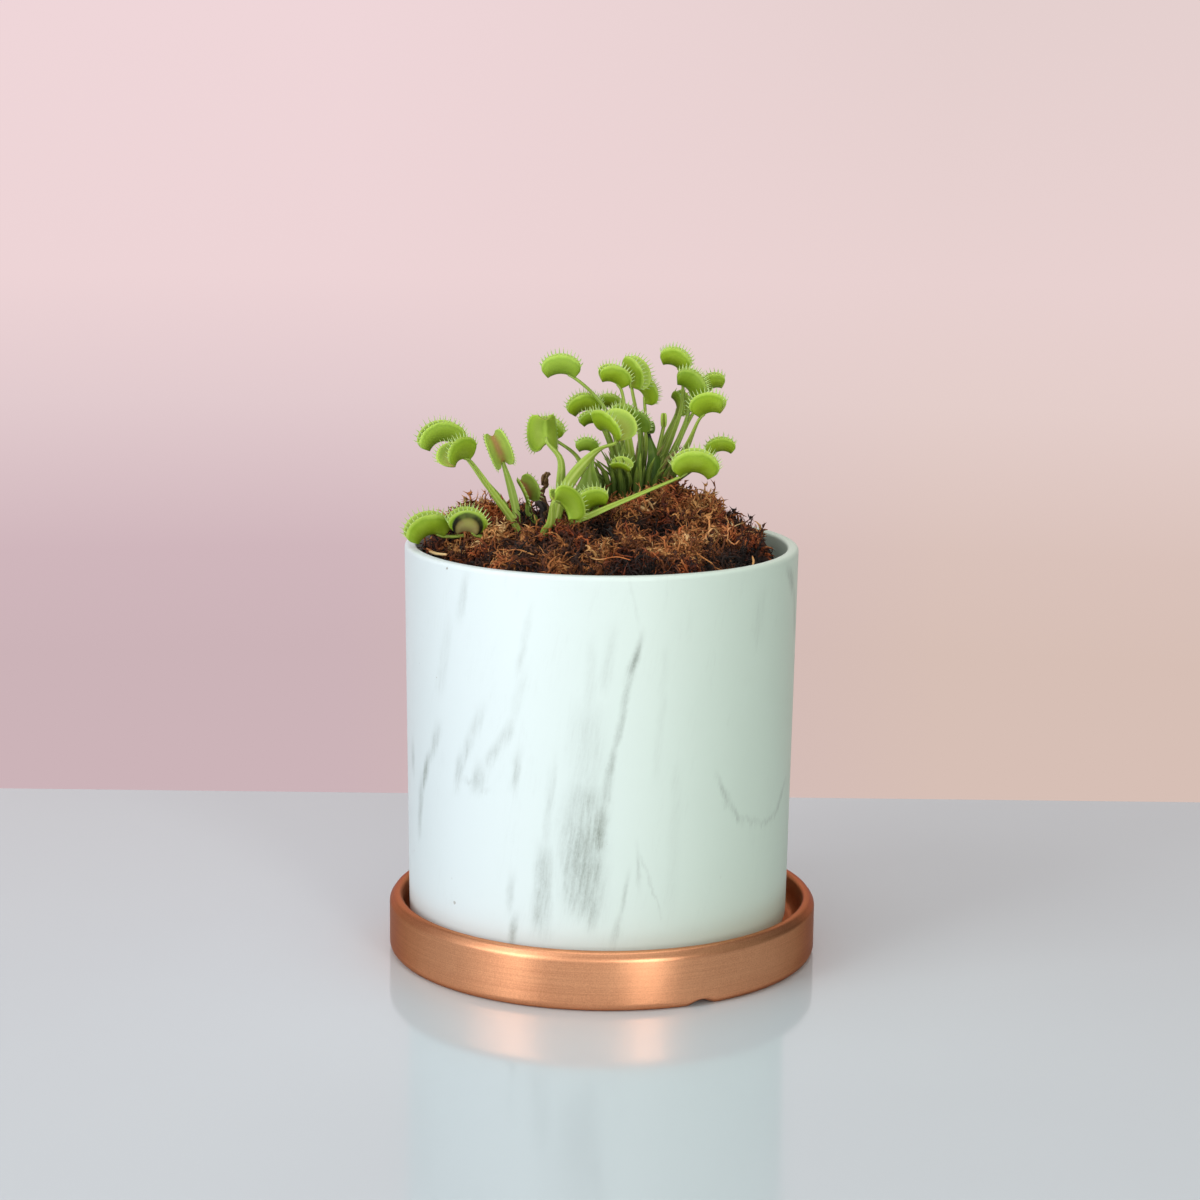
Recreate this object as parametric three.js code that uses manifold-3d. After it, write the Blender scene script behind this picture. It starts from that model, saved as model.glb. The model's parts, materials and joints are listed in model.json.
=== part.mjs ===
// A potted venus flytrap: three small plants in a mound of sphagnum moss, in a cylindrical
// ceramic pot that rests on a ceramic saucer. Millimetres, +Z up, the front of the object is -Y.
// The origin is at the middle of the saucer's underside.

import * as THREE from 'three';
import { mergeVertices } from 'three/addons/utils/BufferGeometryUtils.js';
import Module from 'manifold-3d';

const wasm = await Module();
wasm.setup();

const DEG = Math.PI / 180;
const CLEARANCE = 0.3;

// Saucer
const SAUCER_RADIUS = 66.1;
const SAUCER_HEIGHT = 17.9;
const SAUCER_RIM_WIDTH = 3.3;
const SAUCER_RIM_ROUNDING = 2.4;
const SAUCER_FLOOR_TOP = 9;
const SAUCER_FLOOR_RADIUS = 60.6;
const FOOT_OUTER_RADIUS = 64.6;
const FOOT_INNER_RADIUS = 55;
const FOOT_HEIGHT = 2;
const NOTCH_WIDTH = 9;
const NOTCH_HEIGHT = 1.4;
const NOTCH_BEARING = 27 * DEG;
const SAUCER_SEGMENTS = 48;

// Pot
const POT_X = -1.4;
const POT_TOP_RADIUS = 60;
const POT_BOTTOM_RADIUS = 58.5;
const POT_TOP = 127.5;
const POT_BOTTOM = SAUCER_FLOOR_TOP + CLEARANCE;
const POT_WALL = 3.5;
const POT_FLOOR = 5;
const POT_RIM_ROUNDING = 2.2;
const POT_BOTTOM_ROUNDING = 5;
const DRAIN_RADIUS = 6;
const POT_SEGMENTS = 48;

// Moss mound
const MOSS_RADIUS = POT_TOP_RADIUS - POT_WALL - CLEARANCE - 0.9;
const MOSS_FOOT_RADIUS = POT_BOTTOM_RADIUS - POT_WALL - CLEARANCE - 3;
const MOSS_BOTTOM = POT_BOTTOM + POT_FLOOR + CLEARANCE;
const MOSS_EDGE_Z = POT_TOP - 1.5;
const MOSS_DOME = 11;
const MOSS_LUMP = 1.5;
const MOSS_RINGS = 12;
const MOSS_SECTORS = 40;
// Low hills on the dome: place, spread and height
const MOSS_HILLS = [
  { x: 21, y: 10, spread: 16, height: 7.5 },
  { x: -39, y: 4, spread: 10, height: 4.5 },
  { x: -43, y: -18, spread: 8, height: -2.5 },
  { x: 54, y: 2, spread: 10, height: -4.5 },
];

// Leaves
const LOBE_THICKNESS = 0.7;
const LOBE_END_SHARE = 0.64;
const LOBE_SPREAD = 0.3;
const LOBE_STEPS_ALONG = 5;
const LOBE_STEPS_ACROSS = 2;
const TOOTH_LENGTH = 1.8;
const TOOTH_SMALLEST = 0.3;
const TOOTH_LOBE = 9;
const TOOTH_RADIUS = 0.29;
const TOOTH_ROOT = 0.4;
const TOOTH_FAN = 0.15;
const TOOTH_SPACING = 2.85;
const TOOTHED_LOBE = 3;
const STALK_THICKNESS = 1.3;
const STALK_STEPS = 6;
const WING_FRONT = 0.7; // how far the wings at a stalk's foot turn towards the front of the pot
const FOOT_DEPTH = 6;
const SLEEVE = 0.35;

// Finishes
const COPPER = new THREE.MeshStandardMaterial({ color: 0xb9693f, roughness: 0.32, metalness: 0.9 });
const CERAMIC = new THREE.MeshStandardMaterial({ color: 0xe9efec, roughness: 0.45, metalness: 0 });
const SPHAGNUM = new THREE.MeshStandardMaterial({ color: 0x7c4325, roughness: 0.95, metalness: 0 });
const LEAF = new THREE.MeshStandardMaterial({ color: 0x7fae35, roughness: 0.5, metalness: 0 });
const DEAD_LEAF = new THREE.MeshStandardMaterial({ color: 0x3a2216, roughness: 0.9, metalness: 0 });

// Every leaf: foot on the moss, points that its stalk passes, neck where the trap starts, and the
// trap: yaw and pitch of its hinge (yaw 0 is +X, 90 is away from the front), roll of its mouth
// about the hinge, hinge radius, half angle of the hinge's arc, depth of a lobe and gape (0 shut,
// 1 wide open). wing is the widest part of the stalk.
const LEAVES = [
  // Left plant
  { name: 'left_leaf_1', foot: [-30, -6], via: [[-37, -7, 147]], neck: [-45.3, -6, 157.3],
    yaw: 195, pitch: -8, roll: 0, hinge: 5, arc: 60, lobe: 7, gape: 0.15, wing: 2.5 },
  { name: 'left_leaf_2', foot: [-26.5, -15], via: [[-34, -17, 145]], neck: [-41, -19, 155.1],
    yaw: 226, pitch: -15, roll: 20, hinge: 4.2, arc: 48, lobe: 7.4, gape: 0.45, wing: 2.8 },
  { name: 'left_leaf_3', foot: [-27, -9], via: [[-28.8, -9.5, 145]], neck: [-31.4, -11, 153.7],
    yaw: 180, pitch: 68, roll: -80, hinge: 6.4, arc: 38, lobe: 5.8, gape: 0.6, wing: 2.6 },
  { name: 'left_leaf_4', foot: [-38, -11.5], via: [[-43, -13, 131.2]], neck: [-48.9, -14, 131.2],
    yaw: 192, pitch: -16, roll: 0, hinge: 5.2, arc: 50, lobe: 8, gape: 0.35, wing: 2.2 },
  { name: 'left_leaf_5', foot: [-32.5, -20], via: [[-35.5, -21, 132.2]], neck: [-38.8, -21, 132.8],
    yaw: 188, pitch: 4, roll: 0, hinge: 4, arc: 46, lobe: 8.2, gape: 0.35, wing: 2 },
  { name: 'left_leaf_6', foot: [-22, -6.5], via: [[-23.4, -5.5, 137]], neck: [-23.9, -4, 141.2],
    yaw: 180, pitch: 65, roll: -55, hinge: 4.4, arc: 42, lobe: 4.8, gape: 0.45, wing: 2.4 },
  // Middle plant
  { name: 'middle_leaf_1', foot: [-14.5, -10.5], via: [[-14, -10, 146.5], [-14.2, -9.5, 154.5]],
    neck: [-18.1, -9, 159], yaw: 105, pitch: 72, roll: 180, hinge: 6, arc: 36, lobe: 6.8,
    gape: 0.8, wing: 3 },
  { name: 'middle_leaf_2', foot: [-6, 0.5], via: [[-8.8, 1, 153]], neck: [-15.7, 2.8, 158.5],
    yaw: 175, pitch: 10, roll: 0, hinge: 4.6, arc: 45, lobe: 6.2, gape: 0.4, wing: 2.2 },
  { name: 'middle_leaf_3', foot: [-18.5, -22], via: [[-16.6, -25, 137.2]],
    neck: [-15.6, -28.5, 144.6], yaw: 15, pitch: -50, roll: -35, hinge: 5, arc: 50, lobe: 6.2,
    gape: 0.35, wing: 2.6 },
  { name: 'middle_leaf_4', foot: [-10.8, -16], via: [[-8.6, -15.8, 136.2]],
    neck: [-6.8, -16.3, 137.8], yaw: 0, pitch: 30, roll: 0, hinge: 5, arc: 48, lobe: 6.4,
    gape: 0.25, wing: 1.8 },
  { name: 'middle_leaf_5', foot: [-12.5, -21], via: [[-3, -20.5, 140], [8, -17, 144.3]],
    neck: [21.8, -12, 149.7], yaw: 0, pitch: -4, roll: 0, hinge: 5.6, arc: 50, lobe: 8, gape: 0.25,
    wing: 2.8 },
  { name: 'middle_leaf_6', foot: [-15, -15], via: [[-12.3, -15.5, 146.4], [-2.8, -14.5, 157.8]],
    neck: [3.1, -14, 160.4], yaw: 138, pitch: 22, roll: 2, hinge: 5.6, arc: 42, lobe: 8.4,
    gape: 0.55, wing: 3.8 },
  { name: 'middle_leaf_7', foot: [-6.2, -8.5], via: [[-5, -8, 146], [-4.6, -6.5, 153]],
    neck: [-4, -5, 155.7], yaw: 182, pitch: 5, roll: 0, hinge: 3.6, arc: 40, lobe: 4.2, gape: 0.2,
    wing: 8.6 },
  { name: 'middle_leaf_8', foot: [1.5, 4.5], via: [[4, 6, 152]], neck: [7.1, 8, 164], yaw: 175,
    pitch: 5, roll: 0, hinge: 4, arc: 42, lobe: 4.6, gape: 0.3, wing: 2 },
  // Right plant
  { name: 'right_leaf_1', foot: [6, 12], via: [[0, 11.5, 165.5], [-5, 10.5, 172.2]],
    neck: [-10.2, 9, 176.8], yaw: 180, pitch: 0, roll: 0, hinge: 6.8, arc: 38, lobe: 6.8,
    gape: 0.15, wing: 2 },
  { name: 'right_leaf_2', foot: [4.5, 15.5], via: [[1, 16, 157]], neck: [-3.5, 16, 165.2],
    yaw: 188, pitch: -8, roll: 0, hinge: 4.4, arc: 50, lobe: 6, gape: 0.2, wing: 2 },
  { name: 'right_leaf_3', foot: [4, 8], via: [[1.5, 7, 154]], neck: [-2.3, 5, 163], yaw: 190,
    pitch: -5, roll: 0, hinge: 3.8, arc: 42, lobe: 4.2, gape: 0.3, wing: 1.8 },
  { name: 'right_leaf_4', foot: [6, 19], via: [[4.5, 22, 156]], neck: [2.9, 25, 164.8], yaw: 175,
    pitch: 8, roll: 0, hinge: 4.2, arc: 40, lobe: 4.8, gape: 0.3, wing: 2 },
  { name: 'right_leaf_5', foot: [8.5, 8.5], via: [[6.5, 4.5, 158]], neck: [3.9, 1.6, 174.6],
    yaw: 190, pitch: 20, roll: 0, hinge: 4.8, arc: 40, lobe: 6.2, gape: 0.35, wing: 3 },
  { name: 'right_leaf_6', foot: [10.5, 12], via: [[10.3, 12, 158]], neck: [7.3, 12.5, 173.9],
    yaw: 155, pitch: 60, roll: 8, hinge: 5, arc: 40, lobe: 7, gape: 0.55, wing: 2.4 },
  { name: 'right_leaf_7', foot: [10, 18.5], via: [[12, 19.5, 157]], neck: [11.5, 20, 167.9],
    yaw: 180, pitch: 45, roll: 0, hinge: 4.2, arc: 56, lobe: 5.6, gape: 0.25, wing: 2.2 },
  { name: 'right_leaf_8', foot: [14, 15], via: [[19.4, 17.5, 157], [23, 19.5, 168]],
    neck: [22.6, 20, 177.8], yaw: 175, pitch: 22, roll: 0, hinge: 4.8, arc: 40, lobe: 6.4,
    gape: 0.25, wing: 2.4 },
  { name: 'right_leaf_9', foot: [15.5, 9], via: [[22.6, 9, 160]], neck: [25.7, 10.5, 171],
    yaw: 180, pitch: 42, roll: 0, hinge: 4.6, arc: 42, lobe: 6.9, gape: 0.25, wing: 2.6 },
  { name: 'right_leaf_10', foot: [17, 18.5], via: [[24, 23, 160]], neck: [31.2, 27, 171.2], yaw: 0,
    pitch: 15, roll: 0, hinge: 3.8, arc: 36, lobe: 5.4, gape: 0.3, wing: 2.2 },
  { name: 'right_leaf_11', foot: [18.5, 9.5], via: [[24.8, 6, 157.8]], neck: [28, 2.7, 165.8],
    yaw: -10, pitch: 15, roll: -10, hinge: 5.2, arc: 38, lobe: 7.2, gape: 0.45, wing: 3 },
  { name: 'right_leaf_12', foot: [12, 22.5], via: [[17, 25, 154]], neck: [21.6, 27, 164.2],
    yaw: 150, pitch: 70, roll: 0, hinge: 3.8, arc: 42, lobe: 4.8, gape: 0.4, wing: 2 },
  { name: 'right_leaf_13', foot: [19, 14], via: [[27.5, 13, 149.2]], neck: [31.9, 13, 152.8],
    yaw: 0, pitch: 8, roll: 0, hinge: 4.6, arc: 44, lobe: 4.8, gape: 0.2, wing: 2 },
  { name: 'right_leaf_14', foot: [6.5, 2], via: [[7.2, -1.5, 146.5]], neck: [6.2, -3.5, 150],
    yaw: 170, pitch: 10, roll: -15, hinge: 3.2, arc: 40, lobe: 3.8, gape: 0.7, wing: 1.8 },
  { name: 'right_leaf_15', foot: [9.5, 4.5], via: [[9.6, 3.5, 150]], neck: [10.1, 2, 161.3],
    yaw: 180, pitch: 48, roll: 0, hinge: 3.4, arc: 42, lobe: 4.4, gape: 0.2, wing: 2.2 },
  { name: 'right_leaf_16', foot: [13.3, 11.5], via: [[15.6, 12, 154]], neck: [17.2, 12.5, 161.8],
    yaw: 90, pitch: 84, roll: 0, hinge: 4, arc: 28, lobe: 1.5, gape: 0.35, wing: 1.6 },
  { name: 'right_leaf_17', foot: [13, 5.5], via: [[14.4, 6, 151]], neck: [12.6, 7.5, 160.5],
    yaw: 120, pitch: 75, roll: 0, hinge: 2.4, arc: 35, lobe: 2.2, gape: 0.35, wing: 4.6 },
];

// Dead leaves: shrivelled stalks that end in a folded scrap
const DEAD_LEAVES = [
  { name: 'dead_leaf_curled', foot: [-18.5, 4], via: [[-20, 3, 142]], neck: [-18.6, 2, 144.5],
    yaw: 60, pitch: 60, roll: 0, hinge: 2.2, arc: 50, lobe: 2, gape: 0.1, wing: 2.6 },
  { name: 'dead_leaf_black', foot: [-19, -13], via: [[-19.2, -12.5, 137]],
    neck: [-19.5, -12, 138.5], yaw: 150, pitch: 40, roll: 0, hinge: 2, arc: 45, lobe: 2.2,
    gape: 0.1, wing: 2.4 },
];

// Solids from and to geometry, for joining and cutting
function solidOf(geometry) {
  const bare = geometry.clone();
  bare.deleteAttribute('normal');
  bare.deleteAttribute('uv');
  const merged = mergeVertices(bare, 1e-4);
  const vertProperties = new Float32Array(merged.attributes.position.array);
  const triVerts = new Uint32Array(merged.index.array);
  return new wasm.Manifold(new wasm.Mesh({ numProp: 3, vertProperties, triVerts }));
}

function geometryOf(solid) {
  const mesh = solid.getMesh();
  const geometry = new THREE.BufferGeometry();
  geometry.setAttribute('position', new THREE.Float32BufferAttribute(mesh.vertProperties, 3));
  geometry.setIndex(Array.from(mesh.triVerts));
  geometry.computeVertexNormals();
  return geometry;
}

function geometryFrom(points, triangles) {
  const geometry = new THREE.BufferGeometry();
  const coordinates = points.flatMap((p) => [p.x, p.y, p.z]);
  geometry.setAttribute('position', new THREE.Float32BufferAttribute(coordinates, 3));
  geometry.setIndex(triangles.flat());
  return geometry;
}

// Points of an arc in a lathe profile, from one angle to another, around (radius, z)
function arcPoints(radius, z, size, from, to, steps) {
  const points = [];
  for (let i = 0; i <= steps; i += 1) {
    const angle = (from + (to - from) * (i / steps)) * DEG;
    points.push(new THREE.Vector2(radius + size * Math.cos(angle), z + size * Math.sin(angle)));
  }
  return points;
}

// A closed ring profile turned about +Z
function turned(profile, segments) {
  const closed = [...profile, profile[0].clone()];
  const geometry = new THREE.LatheGeometry(closed, segments);
  geometry.rotateX(Math.PI / 2);
  return geometry;
}

function saucerSolid() {
  const rimInner = SAUCER_RADIUS - SAUCER_RIM_WIDTH;
  const rimTop = SAUCER_HEIGHT - SAUCER_RIM_ROUNDING;
  const profile = [
    new THREE.Vector2(0, SAUCER_FLOOR_TOP),
    new THREE.Vector2(0, FOOT_HEIGHT),
    new THREE.Vector2(FOOT_INNER_RADIUS - 1, FOOT_HEIGHT),
    new THREE.Vector2(FOOT_INNER_RADIUS, 0),
    new THREE.Vector2(FOOT_OUTER_RADIUS, 0),
    new THREE.Vector2(SAUCER_RADIUS, 1.6),
    ...arcPoints(SAUCER_RADIUS - SAUCER_RIM_ROUNDING, rimTop, SAUCER_RIM_ROUNDING, 0, 90, 3),
    new THREE.Vector2(rimInner, SAUCER_HEIGHT - 0.3),
    new THREE.Vector2(SAUCER_FLOOR_RADIUS + 1, SAUCER_FLOOR_TOP + 2.5),
    new THREE.Vector2(SAUCER_FLOOR_RADIUS - 1, SAUCER_FLOOR_TOP),
  ];
  return solidOf(turned(profile, SAUCER_SEGMENTS)).subtract(notchSolid());
}

// The smooth notch in the saucer's foot, an arch that runs out through the foot ring
function notchSolid() {
  const arch = new THREE.Shape();
  arch.moveTo(-NOTCH_WIDTH / 2, -1);
  arch.lineTo(NOTCH_WIDTH / 2, -1);
  arch.lineTo(NOTCH_WIDTH / 2, 0);
  arch.quadraticCurveTo(NOTCH_WIDTH / 4, NOTCH_HEIGHT, 0, NOTCH_HEIGHT);
  arch.quadraticCurveTo(-NOTCH_WIDTH / 4, NOTCH_HEIGHT, -NOTCH_WIDTH / 2, 0);
  const length = SAUCER_RADIUS - FOOT_INNER_RADIUS + 6;
  const sweep = { depth: length, bevelEnabled: false, curveSegments: 4 };
  const geometry = new THREE.ExtrudeGeometry(arch, sweep);
  geometry.translate(0, 0, FOOT_INNER_RADIUS - 3);
  geometry.rotateX(Math.PI / 2);
  geometry.rotateZ(NOTCH_BEARING);
  return solidOf(geometry);
}

function potSolid() {
  const inner = POT_TOP_RADIUS - POT_WALL;
  const innerFoot = POT_BOTTOM_RADIUS - POT_WALL;
  const floorTop = POT_BOTTOM + POT_FLOOR;
  const rimZ = POT_TOP - POT_RIM_ROUNDING;
  const footR = POT_BOTTOM_RADIUS - POT_BOTTOM_ROUNDING;
  const footZ = POT_BOTTOM + POT_BOTTOM_ROUNDING;
  const profile = [
    new THREE.Vector2(DRAIN_RADIUS, floorTop),
    new THREE.Vector2(DRAIN_RADIUS, POT_BOTTOM),
    ...arcPoints(footR, footZ, POT_BOTTOM_ROUNDING, -90, 0, 3),
    ...arcPoints(POT_TOP_RADIUS - POT_RIM_ROUNDING, rimZ, POT_RIM_ROUNDING, 0, 90, 3),
    new THREE.Vector2(inner + 0.7, POT_TOP - 0.1),
    new THREE.Vector2(inner, POT_TOP - 0.8),
    new THREE.Vector2(innerFoot, floorTop + 3),
    new THREE.Vector2(innerFoot - 3, floorTop),
  ];
  return solidOf(turned(profile, POT_SEGMENTS)).translate([POT_X, 0, 0]);
}

// Height of the moss above (x, y), the whole mound with its lumps
function mossHeight(x, y) {
  const share = Math.min(1, Math.hypot(x - POT_X, y) / MOSS_RADIUS);
  let z = MOSS_EDGE_Z + MOSS_DOME * (1 - share * share) ** 0.8;
  for (const hill of MOSS_HILLS) {
    const away = (x - hill.x) ** 2 + (y - hill.y) ** 2;
    z += hill.height * Math.exp(-away / (2 * hill.spread ** 2));
  }
  const lumps = Math.sin(0.71 * x + 1.3) * Math.cos(0.63 * y - 0.4)
    + 0.7 * Math.sin(1.17 * x - 0.52 * y + 2.1) + 0.5 * Math.cos(0.37 * x + 1.31 * y);
  return z + MOSS_LUMP * lumps * (1 - share ** 6) * 0.6;
}

function mossSolid(sleeves) {
  const points = [new THREE.Vector3(POT_X, 0, mossHeight(POT_X, 0))];
  const triangles = [];
  const ringStart = (ring) => 1 + (ring - 1) * MOSS_SECTORS;
  for (let ring = 1; ring <= MOSS_RINGS; ring += 1) {
    const radius = MOSS_RADIUS * (ring / MOSS_RINGS);
    for (let i = 0; i < MOSS_SECTORS; i += 1) {
      const angle = ((i + 0.5 * (ring % 2)) / MOSS_SECTORS) * 2 * Math.PI;
      const x = POT_X + radius * Math.cos(angle);
      const y = radius * Math.sin(angle);
      points.push(new THREE.Vector3(x, y, mossHeight(x, y)));
    }
  }
  for (let i = 0; i < MOSS_SECTORS; i += 1) {
    const angle = ((i + 0.5 * (MOSS_RINGS % 2)) / MOSS_SECTORS) * 2 * Math.PI;
    const x = POT_X + MOSS_FOOT_RADIUS * Math.cos(angle);
    points.push(new THREE.Vector3(x, MOSS_FOOT_RADIUS * Math.sin(angle), MOSS_BOTTOM));
  }
  points.push(new THREE.Vector3(POT_X, 0, MOSS_BOTTOM));
  const bottom = points.length - 1;
  for (let i = 0; i < MOSS_SECTORS; i += 1) {
    const next = (i + 1) % MOSS_SECTORS;
    triangles.push([0, ringStart(1) + i, ringStart(1) + next]);
    for (let ring = 1; ring <= MOSS_RINGS; ring += 1) {
      const inner = ringStart(ring);
      const outer = ringStart(ring + 1);
      const slanted = ring % 2 === 1 && ring < MOSS_RINGS;
      if (slanted) {
        triangles.push([inner + i, outer + next, inner + next], [inner + i, outer + i, outer + next]);
      } else {
        triangles.push([inner + i, outer + i, inner + next], [outer + i, outer + next, inner + next]);
      }
    }
    const skirt = ringStart(MOSS_RINGS + 1);
    triangles.push([bottom, skirt + next, skirt + i]);
  }
  let moss = solidOf(geometryFrom(points, triangles));
  for (const sleeve of sleeves) {
    moss = moss.subtract(sleeve);
  }
  return moss;
}

// The trap's own axes: along the hinge, out through the mouth, and across the lobes
function trapAxes(leaf) {
  const yaw = leaf.yaw * DEG;
  const pitch = leaf.pitch * DEG;
  const along = new THREE.Vector3(
    Math.cos(yaw) * Math.cos(pitch), Math.sin(yaw) * Math.cos(pitch), Math.sin(pitch));
  const mouth = new THREE.Vector3(
    -Math.cos(yaw) * Math.sin(pitch), -Math.sin(yaw) * Math.sin(pitch), Math.cos(pitch));
  mouth.applyAxisAngle(along, leaf.roll * DEG);
  const across = new THREE.Vector3().crossVectors(along, mouth);
  const arc = leaf.arc * DEG;
  const neck = new THREE.Vector3(...leaf.neck);
  const centre = neck.clone()
    .addScaledVector(along, leaf.hinge * Math.sin(arc))
    .addScaledVector(mouth, -leaf.hinge * Math.cos(arc));
  return { along, mouth, across, centre, arc };
}

// Direction from the centre of the hinge's arc to the hinge at t, from -1 (neck) to 1 (tip)
function spoke(axes, t) {
  const angle = axes.arc * t;
  return axes.along.clone().multiplyScalar(Math.sin(angle))
    .addScaledVector(axes.mouth, Math.cos(angle));
}

// A point of the trap's skin. t runs along the hinge, v from the hinge (0) to the margin (1) and
// its sign picks the lobe. The lobe leaves the hinge sideways and bends up towards the mouth.
function trapPoint(leaf, axes, t, v, lift) {
  const out = spoke(axes, t);
  const side = Math.sign(v);
  const share = Math.abs(v);
  const start = (65 + 15 * leaf.gape) * DEG;
  const end = (-35 + 55 * leaf.gape) * DEG;
  const bend = end - start;
  const angle = start + bend * share;
  const depth = leaf.lobe * (1 - (1 - LOBE_END_SHARE) * t * t);
  const radial = leaf.hinge + depth * (Math.sin(angle) - Math.sin(start)) / bend;
  const sideways = depth * (Math.cos(start) - Math.cos(angle)) / bend;
  const point = axes.centre.clone()
    .addScaledVector(out, radial)
    .addScaledVector(axes.along, LOBE_SPREAD * leaf.gape * depth * share * t)
    .addScaledVector(axes.across, side * sideways);
  if (side === 0) {
    return point.addScaledVector(out, -lift);
  }
  return point
    .addScaledVector(out, -lift * Math.sin(angle))
    .addScaledVector(axes.across, lift * side * Math.cos(angle));
}

// Both lobes as one thin closed shell, split alike on its outer and its inner face
function lobesSolid(leaf, axes) {
  const rows = 2 * LOBE_STEPS_ACROSS + 1;
  const columns = LOBE_STEPS_ALONG + 1;
  const points = [];
  for (const lift of [LOBE_THICKNESS / 2, -LOBE_THICKNESS / 2]) {
    for (let row = 0; row < rows; row += 1) {
      for (let column = 0; column < columns; column += 1) {
        const t = (2 * column) / LOBE_STEPS_ALONG - 1;
        const v = row / LOBE_STEPS_ACROSS - 1;
        points.push(trapPoint(leaf, axes, t, v, lift));
      }
    }
  }
  const layer = rows * columns;
  const at = (row, column) => row * columns + column;
  const triangles = [];
  for (let row = 0; row < rows - 1; row += 1) {
    for (let column = 0; column < columns - 1; column += 1) {
      const a = at(row, column);
      const b = at(row, column + 1);
      const c = at(row + 1, column + 1);
      const d = at(row + 1, column);
      triangles.push([a, b, c], [a, c, d]);
      triangles.push([layer + a, layer + c, layer + b], [layer + a, layer + d, layer + c]);
    }
  }
  const columnsOut = [...Array(columns - 1).keys()];
  const rowsOut = [...Array(rows - 1).keys()];
  const edge = [
    ...columnsOut.map((column) => at(0, column)),
    ...rowsOut.map((row) => at(row, columns - 1)),
    ...columnsOut.map((column) => at(rows - 1, columns - 1 - column)),
    ...rowsOut.map((row) => at(rows - 1 - row, 0)),
  ];
  edge.forEach((a, i) => {
    const b = edge[(i + 1) % edge.length];
    triangles.push([a, layer + b, b], [a, layer + a, layer + b]);
  });
  return solidOf(geometryFrom(points, triangles));
}

// One bristle: a slim three-sided spike whose root is sunk in the lobe's margin
function toothSolid(leaf, axes, t, side) {
  const rim = trapPoint(leaf, axes, t, side, 0);
  const skin = trapPoint(leaf, axes, t, side, 1).sub(rim).normalize();
  const rise = rim.clone().sub(trapPoint(leaf, axes, t, side * 0.9, 0)).normalize();
  const aside = new THREE.Vector3().crossVectors(rise, skin).normalize();
  const aim = rise.clone().addScaledVector(spoke(axes, t * 1.5), TOOTH_FAN).normalize();
  const length = TOOTH_LENGTH * (TOOTH_SMALLEST + leaf.lobe / TOOTH_LOBE);
  const root = rim.clone().addScaledVector(rise, -TOOTH_ROOT);
  const points = [rim.clone().addScaledVector(aim, length)];
  for (let i = 0; i < 3; i += 1) {
    const angle = (i / 3) * 2 * Math.PI;
    points.push(root.clone()
      .addScaledVector(aside, TOOTH_RADIUS * Math.cos(angle))
      .addScaledVector(skin, TOOTH_RADIUS * Math.sin(angle)));
  }
  return solidOf(geometryFrom(points, [[0, 2, 1], [0, 3, 2], [0, 1, 3], [1, 2, 3]]));
}

// The middle line of a stalk, from inside the moss up to the neck and along the hinge
function stalkCurve(leaf, axes) {
  const [x, y] = leaf.foot;
  const ground = mossHeight(x, y);
  const points = [
    new THREE.Vector3(x, y, ground - FOOT_DEPTH),
    new THREE.Vector3(x, y, ground),
    ...leaf.via.map((p) => new THREE.Vector3(...p)),
    trapPoint(leaf, axes, -1, 0, 0.1),
    trapPoint(leaf, axes, -0.5, 0, 0.1),
  ];
  return new THREE.CatmullRomCurve3(points, false, 'centripetal');
}

// Width of a stalk at share t of its length: a narrow foot, a winged middle and a slim neck
function stalkWidth(leaf, t) {
  const foot = 1.7;
  const neck = 1.1;
  const swell = Math.sin(Math.PI * Math.min(1, t * 1.08)) ** 1.4;
  return foot + (neck - foot) * t + (leaf.wing - 1.4) * swell;
}

// A flat four-sided section swept along the stalk, extra wider and thicker where it is a sleeve
function stalkSolid(leaf, axes, extra) {
  const curve = stalkCurve(leaf, axes);
  const outward = new THREE.Vector3(leaf.neck[0] - leaf.foot[0], leaf.neck[1] - leaf.foot[1], 0);
  const footSide = new THREE.Vector3(outward.y, -outward.x, 0).normalize();
  if (footSide.x < 0) {
    footSide.negate();
  }
  footSide.multiplyScalar(1 - WING_FRONT).add(new THREE.Vector3(WING_FRONT, 0, 0)).normalize();
  if (footSide.dot(axes.across) < 0) {
    footSide.negate();
  }
  const points = [];
  for (let i = 0; i <= STALK_STEPS; i += 1) {
    const t = i / STALK_STEPS;
    const centre = curve.getPointAt(t);
    const tangent = curve.getTangentAt(t);
    const side = footSide.clone().lerp(axes.across, t * t);
    side.addScaledVector(tangent, -side.dot(tangent)).normalize();
    const face = new THREE.Vector3().crossVectors(side, tangent);
    const half = stalkWidth(leaf, t) / 2 + extra;
    const thick = (STALK_THICKNESS * (1 - 0.25 * t)) / 2 + extra;
    if (i === 0) {
      centre.addScaledVector(tangent, -extra);
    }
    points.push(centre.clone().addScaledVector(side, half));
    points.push(centre.clone().addScaledVector(face, thick));
    points.push(centre.clone().addScaledVector(side, -half));
    points.push(centre.clone().addScaledVector(face, -thick));
  }
  const triangles = [[0, 1, 2], [0, 2, 3]];
  for (let i = 0; i < STALK_STEPS; i += 1) {
    for (let k = 0; k < 4; k += 1) {
      const a = 4 * i + k;
      const b = 4 * i + ((k + 1) % 4);
      triangles.push([a, b + 4, b], [a, a + 4, b + 4]);
    }
  }
  const last = 4 * STALK_STEPS;
  triangles.push([last, last + 2, last + 1], [last, last + 3, last + 2]);
  return solidOf(geometryFrom(points, triangles));
}

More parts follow.
